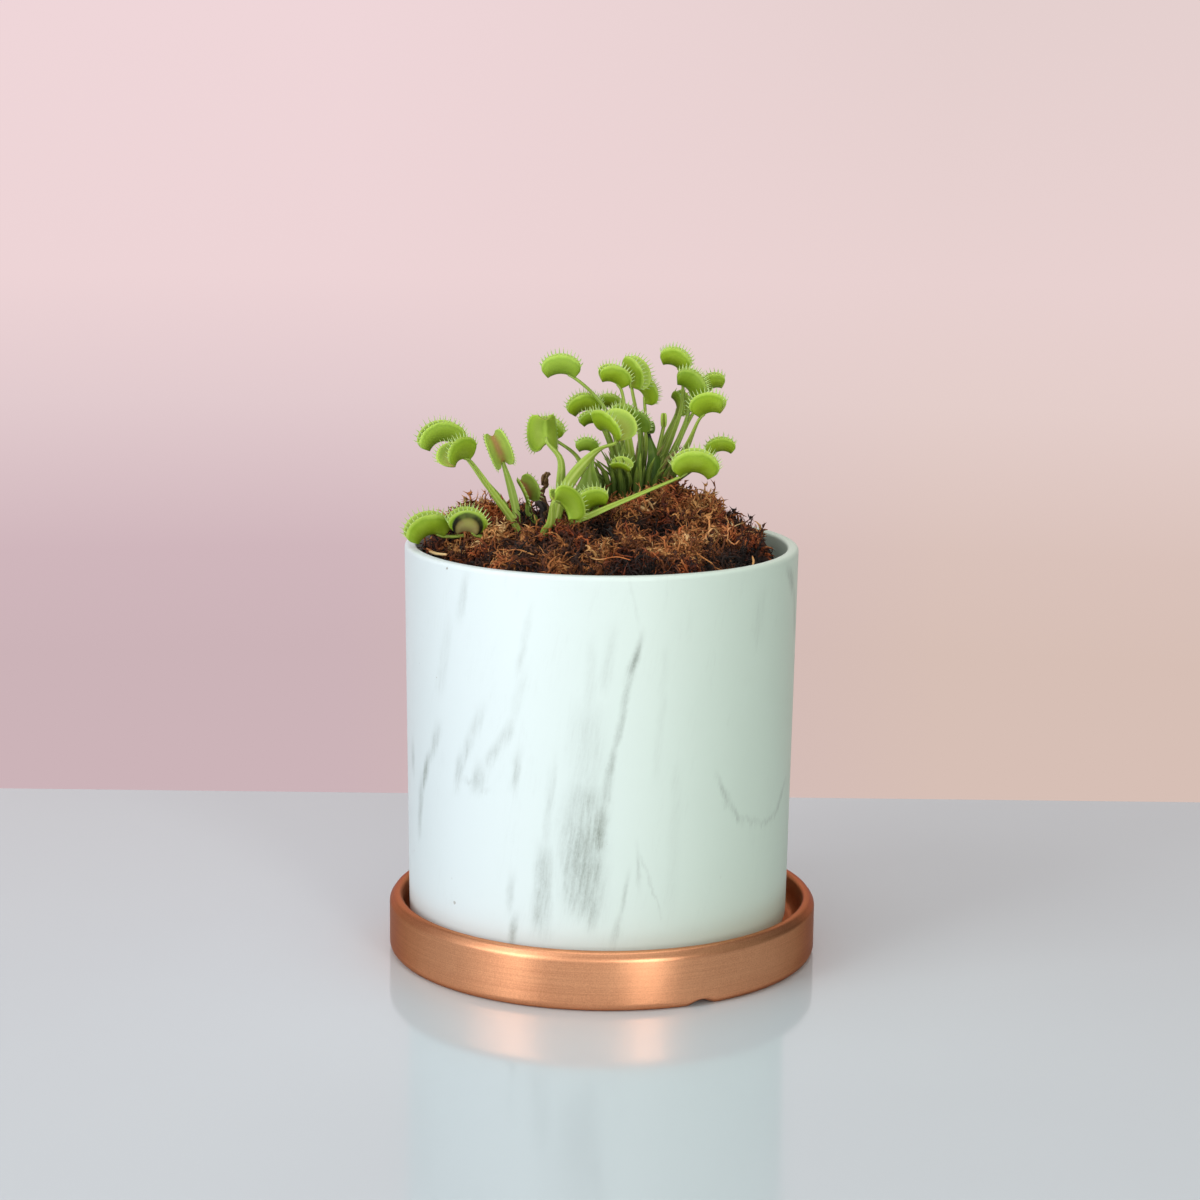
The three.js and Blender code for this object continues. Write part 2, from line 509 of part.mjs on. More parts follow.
function leafSolid(leaf, axes) {
  let solid = lobesSolid(leaf, axes).add(stalkSolid(leaf, axes, 0));
  if (leaf.lobe < TOOTHED_LOBE) {
    return solid;
  }
  const rimLength = 2 * axes.arc * (leaf.hinge + leaf.lobe);
  const count = Math.max(3, Math.round(rimLength / TOOTH_SPACING));
  for (const side of [-1, 1]) {
    for (let i = 0; i < count; i += 1) {
      const t = 0.95 * ((2 * i) / (count - 1) - 1);
      solid = solid.add(toothSolid(leaf, axes, t, side));
    }
  }
  return solid;
}

function named(name, solid, material) {
  const mesh = new THREE.Mesh(geometryOf(solid), material);
  mesh.name = name;
  return mesh;
}

const model = new THREE.Group();
model.add(named('saucer', saucerSolid(), COPPER));
model.add(named('pot', potSolid(), CERAMIC));

const sleeves = [];
for (const leaf of [...LEAVES, ...DEAD_LEAVES]) {
  const axes = trapAxes(leaf);
  const material = DEAD_LEAVES.includes(leaf) ? DEAD_LEAF : LEAF;
  model.add(named(leaf.name, leafSolid(leaf, axes), material));
  sleeves.push(stalkSolid(leaf, axes, SLEEVE));
}
model.add(named('moss', mossSolid(sleeves), SPHAGNUM));

export default model;
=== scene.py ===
# %% [markdown]
# # A potted Venus flytrap
# Three young flytraps grow in a moss-filled ceramic pot that stands on a copper-coloured saucer.
# The CAD model already fixes every size and place. This lesson dresses it: the clay parts are
# turned again with finer curves, the moss gets its loose fibres, and every leaf gets two thin
# lobes with a fringe of bristles. Nothing is moved away from its CAD solid.
# All drawing sizes below are in millimetres; one number turns them into Blender's metres.

# %% Load the fixed frame
import json
import math

import bmesh
import bpy
import numpy as np
from mathutils import Matrix, Vector, noise

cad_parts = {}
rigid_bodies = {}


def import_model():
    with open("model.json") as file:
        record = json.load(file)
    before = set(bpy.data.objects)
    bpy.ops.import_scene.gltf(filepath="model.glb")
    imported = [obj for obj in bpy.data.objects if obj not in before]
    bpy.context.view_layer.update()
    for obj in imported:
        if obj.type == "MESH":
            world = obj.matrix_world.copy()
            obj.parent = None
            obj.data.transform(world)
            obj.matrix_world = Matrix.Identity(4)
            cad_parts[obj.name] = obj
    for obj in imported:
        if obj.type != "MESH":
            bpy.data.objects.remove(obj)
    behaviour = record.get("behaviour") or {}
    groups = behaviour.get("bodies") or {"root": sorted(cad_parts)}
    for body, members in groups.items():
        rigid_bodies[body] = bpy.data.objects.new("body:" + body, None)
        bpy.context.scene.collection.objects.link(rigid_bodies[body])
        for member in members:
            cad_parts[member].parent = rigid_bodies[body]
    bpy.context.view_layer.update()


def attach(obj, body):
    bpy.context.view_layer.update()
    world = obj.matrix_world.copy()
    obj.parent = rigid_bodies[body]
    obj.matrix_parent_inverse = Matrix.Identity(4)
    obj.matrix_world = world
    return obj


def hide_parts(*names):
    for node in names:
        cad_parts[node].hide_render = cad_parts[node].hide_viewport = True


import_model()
MM = 0.001


def put(name, data):
    """A new object in the scene."""
    made = bpy.data.objects.new(name, data)
    bpy.context.scene.collection.objects.link(made)
    return made


# %% [markdown]
# ## The camera
# The photograph was taken from a little above the rim, about 85 cm away. Solving the ellipses of
# the rim and the saucer gave the place, the downward tilt and a slight roll to one side. A long
# lens keeps the pot's sides nearly parallel. The camera comes first, so that every later piece
# can be looked at from where the photograph was taken.

# %% Place the camera
camera_data = bpy.data.cameras.new("photo_camera")
camera_data.sensor_width = 36
camera_data.lens = 84.79
camera_data.clip_start = 0.02
camera_data.clip_end = 30
camera = put("photo_camera", camera_data)
bpy.context.scene.camera = camera
DOWNWARD = 10.65
LEAN = 0.67
camera.location = (-1.71 * MM, -850.66 * MM, 269.56 * MM)
tilt = Matrix.Rotation(math.radians(90 - DOWNWARD), 4, "X")
lean = Matrix.Rotation(math.radians(LEAN), 4, "Z")
camera.rotation_euler = (tilt @ lean).to_euler()
print("camera looks down by", DOWNWARD, "degrees with a lens of", camera_data.lens, "mm")

# %% [markdown]
# ## Writing materials as sums
# Glaze, leaf tissue and moss all change over their surface, so each material is a small sum of
# noises and masks. Blender does that with Math nodes. Wiring them one by one is hard to read,
# so a tiny class wraps a socket and lets Python's own operators add the nodes. It rests on one
# function that adds any node to any tree. A node's settings come first, because they decide
# which sockets it has, and then the values or links of its sockets.

# %% A function that adds any node
def add_node(tree, kind, settings=None, sockets=None):
    made = tree.nodes.new(kind)
    for label, value in (settings or {}).items():
        if label != "stops":
            setattr(made, label, value)
            continue
        stops = made.color_ramp.elements
        while len(stops) < len(value):
            stops.new(0.5)
        for stop, (position, colour) in zip(stops, value):
            stop.position, stop.color = position, colour
    for label, value in dict(sockets or {}).items():
        value = value.socket if isinstance(value, Amount) else value
        if isinstance(value, bpy.types.NodeSocket):
            tree.links.new(value, made.inputs[label])
        else:
            made.inputs[label].default_value = value
    return made


# %% A socket that can be added and multiplied
class Amount:
    """A number that varies over a surface."""

    def __init__(self, finish, socket):
        self.finish = finish
        self.socket = socket

    def maths(self, operation, *values):
        made = self.finish.node("ShaderNodeMath", {"operation": operation}, enumerate(values))
        return Amount(self.finish, made.outputs[0])

    def __add__(self, other):
        return self.maths("ADD", self, other)

    __radd__ = __add__

    def __sub__(self, other):
        return self.maths("SUBTRACT", self, other)

    def __rsub__(self, other):
        return self.maths("SUBTRACT", other, self)

    def __mul__(self, other):
        return self.maths("MULTIPLY", self, other)

    __rmul__ = __mul__

    def __truediv__(self, other):
        return self.maths("DIVIDE", self, other)

    def __pow__(self, other):
        return self.maths("POWER", self, other)

    def __abs__(self):
        return self.maths("ABSOLUTE", self)

    def at_most(self, other):
        return self.maths("MINIMUM", self, other)

    def at_least(self, other):
        return self.maths("MAXIMUM", self, other)

    def wave(self):
        return self.maths("SINE", self)

    def bearing(self, ahead):
        """The angle at which something lies that is this far aside and so far ahead."""
        return self.maths("ARCTAN2", self, ahead)

    def rising(self, low, high):
        """0 below low, 1 above high, and an easy curve between."""
        made = self.finish.node(
            "ShaderNodeMapRange",
            {"interpolation_type": "SMOOTHSTEP"},
            {"Value": self, "From Min": low, "From Max": high},
        )
        return Amount(self.finish, made.outputs[0])

    def hump(self, middle, half_width):
        """1 at the middle and 0 beyond half_width on either side."""
        return 1 - abs(self - middle).rising(0, half_width)


# %% [markdown]
# ## One recipe book for all finishes
# A finish is a Principled shader and the nodes that feed it. A value that is the same all over
# is set straight on the shader, and only what changes over the surface comes from nodes.

# %% The finish class
def srgb(red, green, blue):
    """A colour as the eye reads it, 0 to 255, turned into the shader's linear light."""
    parts = [value / 255 for value in (red, green, blue)]
    return [p / 12.92 if p < 0.04045 else ((p + 0.055) / 1.055) ** 2.4 for p in parts] + [1.0]


class Finish:
    def __init__(self, name, **fixed):
        self.material = bpy.data.materials.new(name)
        self.material.use_nodes = True
        self.tree = self.material.node_tree
        self.shader = self.tree.nodes["Principled BSDF"]
        for label, value in fixed.items():
            self.shader.inputs[label.replace("_", " ")].default_value = value
        self.place = self.node("ShaderNodeTexCoord").outputs["Object"]
        split = self.node("ShaderNodeSeparateXYZ", sockets={0: self.place})
        self.x, self.y, self.z = [Amount(self, socket) / MM for socket in split.outputs]

    def node(self, kind, settings=None, sockets=None):
        return add_node(self.tree, kind, settings, sockets)

    def mark(self, name):
        """A number that the mesh itself carries on its points."""
        made = self.node("ShaderNodeAttribute", {"attribute_name": name})
        return Amount(self, made.outputs["Fac"])

    def at(self, x, y, z):
        """A place for a texture, from three amounts in millimetres."""
        return self.node("ShaderNodeCombineXYZ", sockets={0: x, 1: y, 2: z}).outputs[0]

    def cloud(self, scale, detail=3, roughness=0.5, place=None, swirl=0.0):
        """Noise from 0 to 1. The scale is in specks per metre, or per millimetre on at()."""
        sockets = {"Vector": place or self.place, "Scale": scale, "Detail": detail}
        sockets.update({"Roughness": roughness, "Distortion": swirl})
        return Amount(self, self.node("ShaderNodeTexNoise", sockets=sockets).outputs[0])

    def ramp(self, amount, *stops):
        return self.node("ShaderNodeValToRGB", {"stops": stops}, {0: amount}).outputs[0]

    def mix(self, share, first, second, blend="MIX"):
        settings = {"data_type": "RGBA", "blend_type": blend, "clamp_factor": True}
        return self.node("ShaderNodeMix", settings, {0: share, 6: first, 7: second}).outputs[2]

    def bump(self, height, depth, below=None):
        """Relief whose height of 1 is depth millimetres, on top of another bump."""
        sockets = {"Height": height, "Distance": depth * MM, "Strength": 1.0}
        if below is not None:
            sockets["Normal"] = below
        return self.node("ShaderNodeBump", {}, sockets).outputs[0]

    def wear(self, colour=None, roughness=None, normal=None):
        """Feed what changes over the surface into the shader."""
        feeds = {"Base Color": colour, "Roughness": roughness, "Normal": normal}
        for label, value in feeds.items():
            if value is not None:
                value = value.socket if isinstance(value, Amount) else value
                self.tree.links.new(value, self.shader.inputs[label])
        return self.material


print("the finish class can add", len([n for n in vars(Finish) if n[0] != "_"]), "kinds of step")

# %% [markdown]
# ## Copper paint
# The saucer is fired clay under a satin metallic paint. Close up it shows fine flakes, a faint
# brushed line round the wall, and one pale chip at its foot. A mostly metallic shader carries
# the shine, and its tint darkens the reflections of the parts that turn away. Fine noise makes
# the flakes, and a noise stretched round the wall gives the brushed line.

# %% Mix the copper paint
copper = Finish(
    "copper_paint", Metallic=0.92, Coat_Weight=0.25, Coat_Roughness=0.36,
    Specular_Tint=srgb(150, 96, 72),
)
flakes = copper.cloud(2600, 2)
brushed = copper.cloud(1.0, 4, 0.6, copper.at(copper.x * 0.02, copper.y * 0.02, copper.z * 2.2))
patches = copper.cloud(45, 3)
CHIP = (29.1, -57.2, 1.2)
chip_gap = (copper.x - CHIP[0]) ** 2 + (copper.y - CHIP[1]) ** 2 + (copper.z - CHIP[2]) ** 2
chip = 1 - (chip_gap + 0.35 * patches).rising(0.15, 0.6)
copper_tone = copper.mix(
    (flakes * 0.45 + brushed * 0.35 + patches * 0.25).rising(0.3, 0.75),
    srgb(208, 136, 95),
    srgb(240, 172, 128),
)
copper_tone = copper.mix(chip, copper_tone, srgb(205, 190, 175))
copper_relief = copper.bump(flakes * 0.5 + brushed * 0.5, 0.035)
copper_paint = copper.wear(copper_tone, 0.27 + flakes * 0.08 + brushed * 0.07, copper_relief)
print("copper paint mixed with", len(copper.tree.nodes), "nodes")

# %% [markdown]
# ## Marbled ceramic
# The pot is white stoneware whose grey veins were dragged nearly straight down, leaning from
# upper right to lower left. Each main vein is written as a stroke on the unrolled wall: where it
# starts and ends, how wide and how dark it is. Noise that is stretched along the strokes frays
# them into fibres. Round the back, where no photograph helps, noise alone draws the same kind
# of marble.

# %% Draw the veins on the unrolled wall
POT_X = -1.4
POT_RADIUS = 60
marble = Finish("marbled_ceramic", Coat_Weight=0.12, Coat_Roughness=0.35)
round_wall = (marble.x - POT_X).bearing(marble.y * -1) * POT_RADIUS
drag = (marble.cloud(0.035, 3, 0.5, marble.at(marble.x, marble.y, marble.z * 0.5)) - 0.5) * 7
lean_across = round_wall - marble.z * 0.16 + drag
fibres = marble.cloud(0.75, 5, 0.65, marble.at(lean_across, marble.z * 0.05, 0.0))
broken = marble.cloud(0.12, 4, 0.6, marble.at(lean_across, marble.z * 0.4, 3.0))

# start and end, each round the wall from the front and height; half width at both; darkness
VEINS = [
    (11.5, 108.5, 8.5, 98, 0.8, 1.1, 0.62), (9, 99, 4.5, 77, 0.7, 0.9, 0.36),
    (4.5, 78, 1, 58.5, 0.9, 1.4, 0.42), (1, 61, -0.5, 46, 1.6, 1.9, 0.58),
    (-0.5, 46.5, -2, 25.5, 1.8, 1.5, 0.5), (-3, 89, -4, 63.5, 3.8, 4.2, 0.15),
    (-3.5, 66.5, -5, 48.5, 4.4, 5.2, 0.36), (-5, 56.5, -4, 28, 5, 4.6, 0.5),
    (-8, 59, -9, 30.5, 1.2, 1.4, 0.36), (-14.5, 69, -15.5, 45, 0.8, 1.4, 0.16),
    (-16, 46.5, -17, 21.5, 2, 2.2, 0.4), (-15, 43.5, -14.5, 28.5, 0.6, 0.7, 0.3),
    (-26.5, 36, -27.5, 27, 1.1, 0.9, 0.28), (-25.5, 23.5, -26.5, 17, 1.1, 1.1, 0.6),
    (9, 38, 7, 27, 0.6, 0.7, 0.28), (11.5, 46.5, 12.5, 36.5, 0.5, 0.6, 0.22),
    (7, 27.5, 5, 19.5, 0.8, 0.9, 0.3), (12.5, 45.5, 19, 28, 0.4, 0.4, 0.15),
    (38, 65.5, 43, 56, 0.7, 0.8, 0.36), (42.5, 56, 46.5, 52.5, 0.8, 0.9, 0.46),
    (46, 53, 58, 49, 0.7, 0.7, 0.16), (57.5, 49, 68, 50, 0.7, 0.8, 0.2),
    (67, 49.5, 76, 56.5, 0.8, 1, 0.34), (-37, 86, -41, 76.5, 1.5, 1.6, 0.2),
    (-41, 77, -44.5, 68, 1.5, 1.2, 0.3), (-45.5, 69.5, -47, 62, 1.2, 1.2, 0.5),
    (-37.5, 67, -39.5, 62, 1.9, 1.6, 0.5), (-27, 83, -31, 75.5, 1.2, 1.5, 0.3),
    (-31, 76, -34, 71.5, 1.4, 1.4, 0.44), (-24.5, 74, -25.5, 66.5, 1.1, 1.1, 0.36),
    (-43, 63, -37, 62.5, 1, 1, 0.32), (-56.5, 76.5, -59.5, 69, 1.6, 1.6, 0.36),
    (-62, 67, -66.5, 57.5, 1, 1.4, 0.64), (-67.5, 58, -70, 42, 1.4, 1.2, 0.46),
    (-75.5, 68, -76.5, 60, 1.6, 1.6, 0.34), (-42.5, 124.5, -45.5, 113, 1.1, 1.4, 0.18),
    (-20.5, 117, -24.5, 98.5, 0.8, 1.1, 0.14), (-22.5, 98.5, -26.5, 83, 1.3, 1.4, 0.09),
    (3.5, 112, 1.5, 95, 1.3, 1.4, 0.13), (-2.5, 108, -3.5, 84.5, 1.3, 1.5, 0.11),
    (8, 126, 11, 112, 0.4, 0.6, 0.08), (71.5, 123, 77.5, 116.5, 1.4, 1.8, 0.55),
    (79, 116, 83.5, 101.5, 1.4, 1.6, 0.3), (19.5, 106, 16.5, 68, 0.9, 1, 0.07),
    (-13, 73.5, -14, 58.5, 0.7, 0.9, 0.11), (-50.5, 110.5, -55, 89, 1.4, 1.9, 0.1),
    (23.5, 70, 22.5, 28, 1.3, 1.7, 0.06), (54.5, 120, 53, 105.5, 2.2, 2.4, 0.09),
]
VEIN_SOFTNESS = 2.1
VEIN_FADE = 5.5


def stroke(start_x, start_z, end_x, end_z, wide_start, wide_end, darkness):
    """How grey one vein makes the wall."""
    length = math.hypot(end_x - start_x, end_z - start_z)
    across, up = (end_x - start_x) / length, (end_z - start_z) / length
    beyond, above = wander - start_x, climb - start_z
    along = (beyond * across + above * up) / length
    aside = beyond * up - above * across
    half = (wide_start + (wide_end - wide_start) * along).at_least(0.3)
    body = 1 - (abs(aside) / half).rising(0.0, VEIN_SOFTNESS)
    fade = VEIN_FADE / length
    return body * along.rising(-fade, fade) * (1 - along.rising(1 - fade, 1 + fade)) * darkness


ripple = marble.cloud(0.16, 3, 0.6, marble.at(marble.x, marble.y, marble.z)) - 0.5
streaks = marble.cloud(0.9, 4, 0.7, marble.at(lean_across, marble.z * 0.12, 6.0))
wander = round_wall + ripple * 2.4 + (streaks - 0.5) * 0.9
climb = marble.z + (broken - 0.5) * 5 + (streaks - 0.5) * 6
grey = 0.0
for vein in VEINS:
    grey = stroke(*vein).at_least(grey)
print(len(VEINS), "veins drawn with", len(marble.tree.nodes), "nodes")

# %% [markdown]
# The strokes are now frayed and joined by two quieter layers: a mist of pale grey streaks over
# the whole pot, and the free marble of the back, which fades out towards the front.

# %% Fray the veins and glaze the pot
grain = marble.cloud(1.6, 3, 0.7, marble.at(round_wall, marble.z * 0.7, 1.0))
threads = 0.5 + 0.36 * fibres.rising(0.36, 0.66) + 0.4 * streaks.rising(0.38, 0.66)
frayed = grey * 1.2 * threads * (0.66 + 0.3 * broken.rising(0.3, 0.7) + 0.9 * (grain - 0.4))
mist = streaks.rising(0.45, 0.75) * broken.rising(0.45, 0.7) * 0.07
behind = marble.y.rising(4, 22) * (abs(fibres - 0.5) * -1 + 0.16).rising(0.06, 0.16)
patchy = marble.cloud(0.045, 3, 0.55, marble.at(lean_across, marble.z * 0.6, 9.0))
patchy = patchy.rising(0.5, 0.66)
veined = (frayed + mist + behind * patchy * 0.6).at_most(1.0)
# painted light and shade: the white is cooler and brighter on the left, darker and greener on the
# right
pale = marble.mix(marble.x.rising(-50, 55), srgb(222, 231, 233), srgb(212, 227, 212))
clay_grey = marble.mix(broken, srgb(112, 122, 114), srgb(136, 142, 130))
specks = marble.cloud(420, 1).rising(0.775, 0.8) * marble.cloud(30, 1).rising(0.55, 0.7)
pot_colour = marble.mix(veined, pale, clay_grey)
pot_colour = marble.mix(specks * 0.6, pot_colour, srgb(120, 96, 70))
skin = marble.bump(marble.cloud(900, 3), 0.02, marble.bump(marble.cloud(60, 2), 0.1))
glaze = marble.wear(pot_colour, 0.42 + broken * 0.1 + veined * 0.08, skin)
print("ceramic glazed with", len(marble.tree.nodes), "nodes")

# %% [markdown]
# ## Turned clay
# Saucer and pot were both shaped on a wheel, so both are one profile turned round an axis. The
# CAD solids use few faces; here the same profiles are turned again with soft corners. A profile
# starts underneath and ends inside, so that all faces point outwards.

# %% Tools for meshes and turned work
def as_mesh(name, points, faces, marks=None):
    """A smooth mesh from points in millimetres, with the numbers that its materials read."""
    mesh = bpy.data.meshes.new(name)
    mesh.from_pydata((np.asarray(points, float) * MM).tolist(), [], faces)
    for label, values in (marks or {}).items():
        values = np.asarray(values, np.float32)
        kind, key = ("FLOAT", "value") if values.ndim == 1 else ("FLOAT_VECTOR", "vector")
        mesh.attributes.new(label, kind, "POINT").data.foreach_set(key, values.ravel())
    mesh.polygons.foreach_set("use_smooth", [True] * len(mesh.polygons))
    mesh.update()
    return mesh


def as_piece(name, mesh, node, material=None):
    """An object of the model: it rides on the one body and stands for its CAD node."""
    piece = put(name, mesh)
    if material:
        mesh.materials.append(material)
    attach(piece, "root")
    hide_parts(node)


def drop_marks(mesh, *names):
    """Take off the numbers that were only needed on the way."""
    for name in names:
        if name in mesh.attributes:
            mesh.attributes.remove(mesh.attributes[name])


def triangles(mesh):
    return sum(len(face.vertices) - 2 for face in mesh.polygons)


def unit(way):
    """The same direction, or directions, with a length of 1."""
    return way / np.linalg.norm(way, axis=-1, keepdims=True)


def bands(first, rings, sides, closed=False):
    """Four-sided faces between rings of points, each ring straight after the one before."""
    faces = []
    for ring in range(rings if closed else rings - 1):
        here, there = first + ring * sides, first + (ring + 1) % rings * sides
        for k in range(sides):
            j = (k + 1) % sides
            faces.append([here + k, here + j, there + j, there + k])
    return faces


def caps(low, first, high, last, sides):
    """Fans that close the first ring with the point low and the last one with high."""
    faces = []
    for k in range(sides):
        j = (k + 1) % sides
        faces += [[low, first + j, first + k], [high, last + k, last + j]]
    return faces


def soft_corners(corners, steps=5):
    """Round each corner (radius, height, rounding) of a profile."""
    profile = []
    for index, (radius, height, rounding) in enumerate(corners):
        here = np.array([radius, height])
        if rounding == 0:
            profile.append(here)
            continue
        first = here + unit(np.array(corners[index - 1][:2]) - here) * rounding
        last = here + unit(np.array(corners[(index + 1) % len(corners)][:2]) - here) * rounding
        for k in range(steps + 1):
            t = k / steps
            profile.append(first * (1 - t) ** 2 + here * 2 * t * (1 - t) + last * t * t)
    return np.array(profile)


def turned(profile, segments, middle=0.0):
    """Turn a profile round the pot's axis. Ends on the axis are closed with a fan."""
    angles = np.arange(segments) * 2 * np.pi / segments
    on_axis = [r < 1e-6 for r, _ in profile]
    rings = [p for p, pole in zip(profile, on_axis) if not pole]
    points = [(middle + r * np.cos(a), r * np.sin(a), z) for r, z in rings for a in angles]
    faces = bands(0, len(rings), segments, closed=not any(on_axis))
    if any(on_axis):
        low = len(points)
        faces += caps(low, 0, low + 1, low - segments, segments)
        points += [(middle, 0, profile[0][1]), (middle, 0, profile[-1][1])]
    return np.array(points), faces


# %% [markdown]
# ### The saucer
# Its rim has a soft bevel that catches the light, and its foot has one smooth notch that lets
# trapped air and water out. The notch is made by lifting the foot's rings where it lies.

# %% Turn the saucer and lift its notch
saucer_corners = [
    (0, 2, 0), (54.2, 2, 0.6), (55, 0, 0.5), (64.7, 0, 0.9), (66.1, 1.7, 0.9),
    (66.1, 15.6, 0.7), (64.6, 17.7, 0.7), (63.0, 17.9, 0.5), (62.2, 17.0, 0.6),
    (61.5, 11.4, 1.6), (59.4, 9, 1.4), (0, 9, 0),
]
saucer_points, saucer_faces = turned(soft_corners(saucer_corners), 360)
NOTCH_TURN = math.radians(-63)
NOTCH_WIDTH = 9.4
NOTCH_RISE = 1.5
NOTCH_FADE = 3
FOOT_RADIUS = 54
saucer_x, saucer_y, saucer_z = saucer_points.T
from_axis = np.hypot(saucer_x, saucer_y)
beside = (np.arctan2(saucer_y, saucer_x) - NOTCH_TURN) * from_axis
opening = 0.5 + 0.5 * np.cos(np.clip(beside / (NOTCH_WIDTH / 2), -1, 1) * np.pi)
lift = NOTCH_RISE * opening ** 0.7 * np.clip(1 - saucer_z / NOTCH_FADE, 0, 1)
saucer_points[:, 2] += lift * (from_axis > FOOT_RADIUS)
saucer_mesh = as_mesh("saucer_turned", saucer_points, saucer_faces)
as_piece("saucer_turned", saucer_mesh, "saucer", copper_paint)
print("saucer:", len(saucer_faces), "faces, notch", NOTCH_WIDTH, "mm wide")

# %% [markdown]
# ### The pot
# A nearly straight wall, a little wider at the top, with a rounded rim 3.4 mm thick, soft edges
# and one drain hole. The wall keeps the CAD profile.

# %% Turn the pot
RIM_INSIDE = 56.6
pot_corners = [
    (6, 9.3, 0.4), (58.5, 9.3, 4.6), (POT_RADIUS, 127.5, 1.5), (RIM_INSIDE, 127.5, 1.1),
    (55, 17.3, 2.4), (52, 14.3, 1.2), (6, 14.3, 0.4),
]
pot_points, pot_faces = turned(soft_corners(pot_corners, 7), 256, POT_X)
pot_mesh = as_mesh("pot_turned", pot_points, pot_faces)
as_piece("pot_turned", pot_mesh, "pot", glaze)
print("pot:", len(pot_faces), "faces, wall", round(POT_RADIUS - RIM_INSIDE, 1), "mm at the rim")

# %% [markdown]
# ## Sphagnum moss
# Dried long-fibre sphagnum is a springy tangle of red-brown strands with dark holes between.
# Two layers copy it. Below is a lumpy mound with the height of the CAD moss, with painted shade
# in its hollows. On top lie thousands of small curled strands, placed by Geometry Nodes. The
# strands get painted light on top of a clod and painted shade in a gap, and are redder in some
# patches than in others.

# %% Mix the two moss colours
peat = Finish("peat", Roughness=0.95)
crumbs = peat.cloud(700, 4, 0.65)
clods = peat.cloud(150, 3)
# partly random crumbs and clods, partly painted shade: the high mark darkens the peat in the gaps
# between clods
peat_tone = peat.ramp(
    crumbs * 0.4 + clods * 0.25 + peat.mark("high") * 0.4,
    (0.25, srgb(14, 6, 3)), (0.55, srgb(48, 22, 11)), (0.8, srgb(116, 62, 30)),
)
peat_skin = peat.wear(peat_tone, normal=peat.bump(crumbs, 1.2))

strand = Finish("moss_strand", Roughness=0.82)
tone = strand.mark("tone")
clump = strand.cloud(90, 2)
fleck = strand.cloud(1300, 3)
strand_tone = strand.ramp(
    tone * 1.05 + clump * 0.45 + fleck * 0.35 - 0.5,
    (0.08, srgb(24, 11, 5)), (0.26, srgb(66, 32, 14)), (0.44, srgb(122, 66, 28)),
    (0.6, srgb(170, 104, 50)), (0.78, srgb(206, 150, 88)), (0.97, srgb(230, 196, 140)),
)
reddish = strand.cloud(80, 2, swirl=0.4).rising(0.46, 0.62)
strand_tone = strand.mix(reddish * 0.85, strand_tone, srgb(255, 196, 172), "MULTIPLY")
moss_strand = strand.wear(strand_tone, normal=strand.bump(fleck, 0.25))
print("moss colours mixed")

# %% [markdown]
# ### The mound
# The mound's height is the same sum as in the CAD source: a dome, four hills and some lumps.
# Sphagnum does not lie flat on it. It balls up in clods as big as a thumbnail, with dark gaps
# between. Each clod here is a small dome of its own, and the highest dome counts, which makes
# round tops and sharp gaps. The mound goes down to the pot's floor, because a pot is filled.

# %% Heap up the mound
MOSS_RADIUS = 55.3
MOSS_FLOOR_RADIUS = 51.7
MOSS_BOTTOM = 14.6
MOSS_EDGE = 126
DOME = 11
LUMP = 1.5
HILLS = [(21, 10, 16, 7.5), (-39, 4, 10, 4.5), (-43, -18, 8, -2.5), (54, 2, 10, -4.5)]
CLODS = 112
CLOD_DEPTH = 7.0
CLOD_FLOOR = -4.6


def moss_height(x, y):
    """Height of the moss over a place in the pot."""
    share = np.minimum(1, np.hypot(x - POT_X, y) / MOSS_RADIUS)
    height = MOSS_EDGE + DOME * (1 - share * share) ** 0.8
    for hill_x, hill_y, spread, rise in HILLS:
        gap = (x - hill_x) ** 2 + (y - hill_y) ** 2
        height = height + rise * np.exp(-gap / (2 * spread ** 2))
    lumps = (np.sin(0.71 * x + 1.3) * np.cos(0.63 * y - 0.4)
             + 0.7 * np.sin(1.17 * x - 0.52 * y + 2.1) + 0.5 * np.cos(0.37 * x + 1.31 * y))
    return height + LUMP * lumps * (1 - share ** 6) * 0.6


# x, y, radius, height above the hills and tint of the clod that props up the dying trap
PROP_CLOD = (-34.0, -24.5, 6.5, 3.0, 0.5)
clod_dice = np.random.default_rng(5)
clod_bearing = clod_dice.uniform(0, 2 * math.pi, CLODS)
clod_middle = np.sqrt(clod_dice.uniform(0, 1, CLODS)) * MOSS_RADIUS
clod_rows = [
    POT_X + clod_middle * np.cos(clod_bearing), clod_middle * np.sin(clod_bearing),
    clod_dice.uniform(5.2, 8.4, CLODS), clod_dice.uniform(-1.5, 2.4, CLODS),
    clod_dice.uniform(0, 1, CLODS),
]
clod_x, clod_y, clod_size, clod_top, clod_tint = [
    np.append(row, value) for row, value in zip(clod_rows, PROP_CLOD)
]


def bumpy(x, y, pace, salt):
    """Smooth noise from -1 to 1 over the mound."""
    return noise.noise(Vector((x * pace, y * pace, salt)))


def clod_at(x, y):
    """Relief of the clods in mm, and the tint of the clod that is on top."""
    aside = x + bumpy(x, y, 0.3, 5.0) * 2.2 - clod_x
    ahead = y + bumpy(x, y, 0.3, 15.0) * 2.2 - clod_y
    domes = clod_top - CLOD_DEPTH * (np.hypot(aside, ahead) / clod_size) ** 2.2
    top = int(np.argmax(domes))
    knots = abs(bumpy(x, y, 0.27, 9.0)) * 3.6 - 0.8
    return max(float(domes[top]), CLOD_FLOOR) + knots, float(clod_tint[top])


RINGS = 72
SPOKES = 220
FLOOR_RINGS = (20, 40, MOSS_FLOOR_RADIUS)
SINK = 1.0
EDGE_DROP = 1.6
CLOD_CROWN = 2.0


def on_spoke(k, radius):
    angle = 2 * math.pi * k / SPOKES
    return POT_X + radius * math.cos(angle), radius * math.sin(angle)


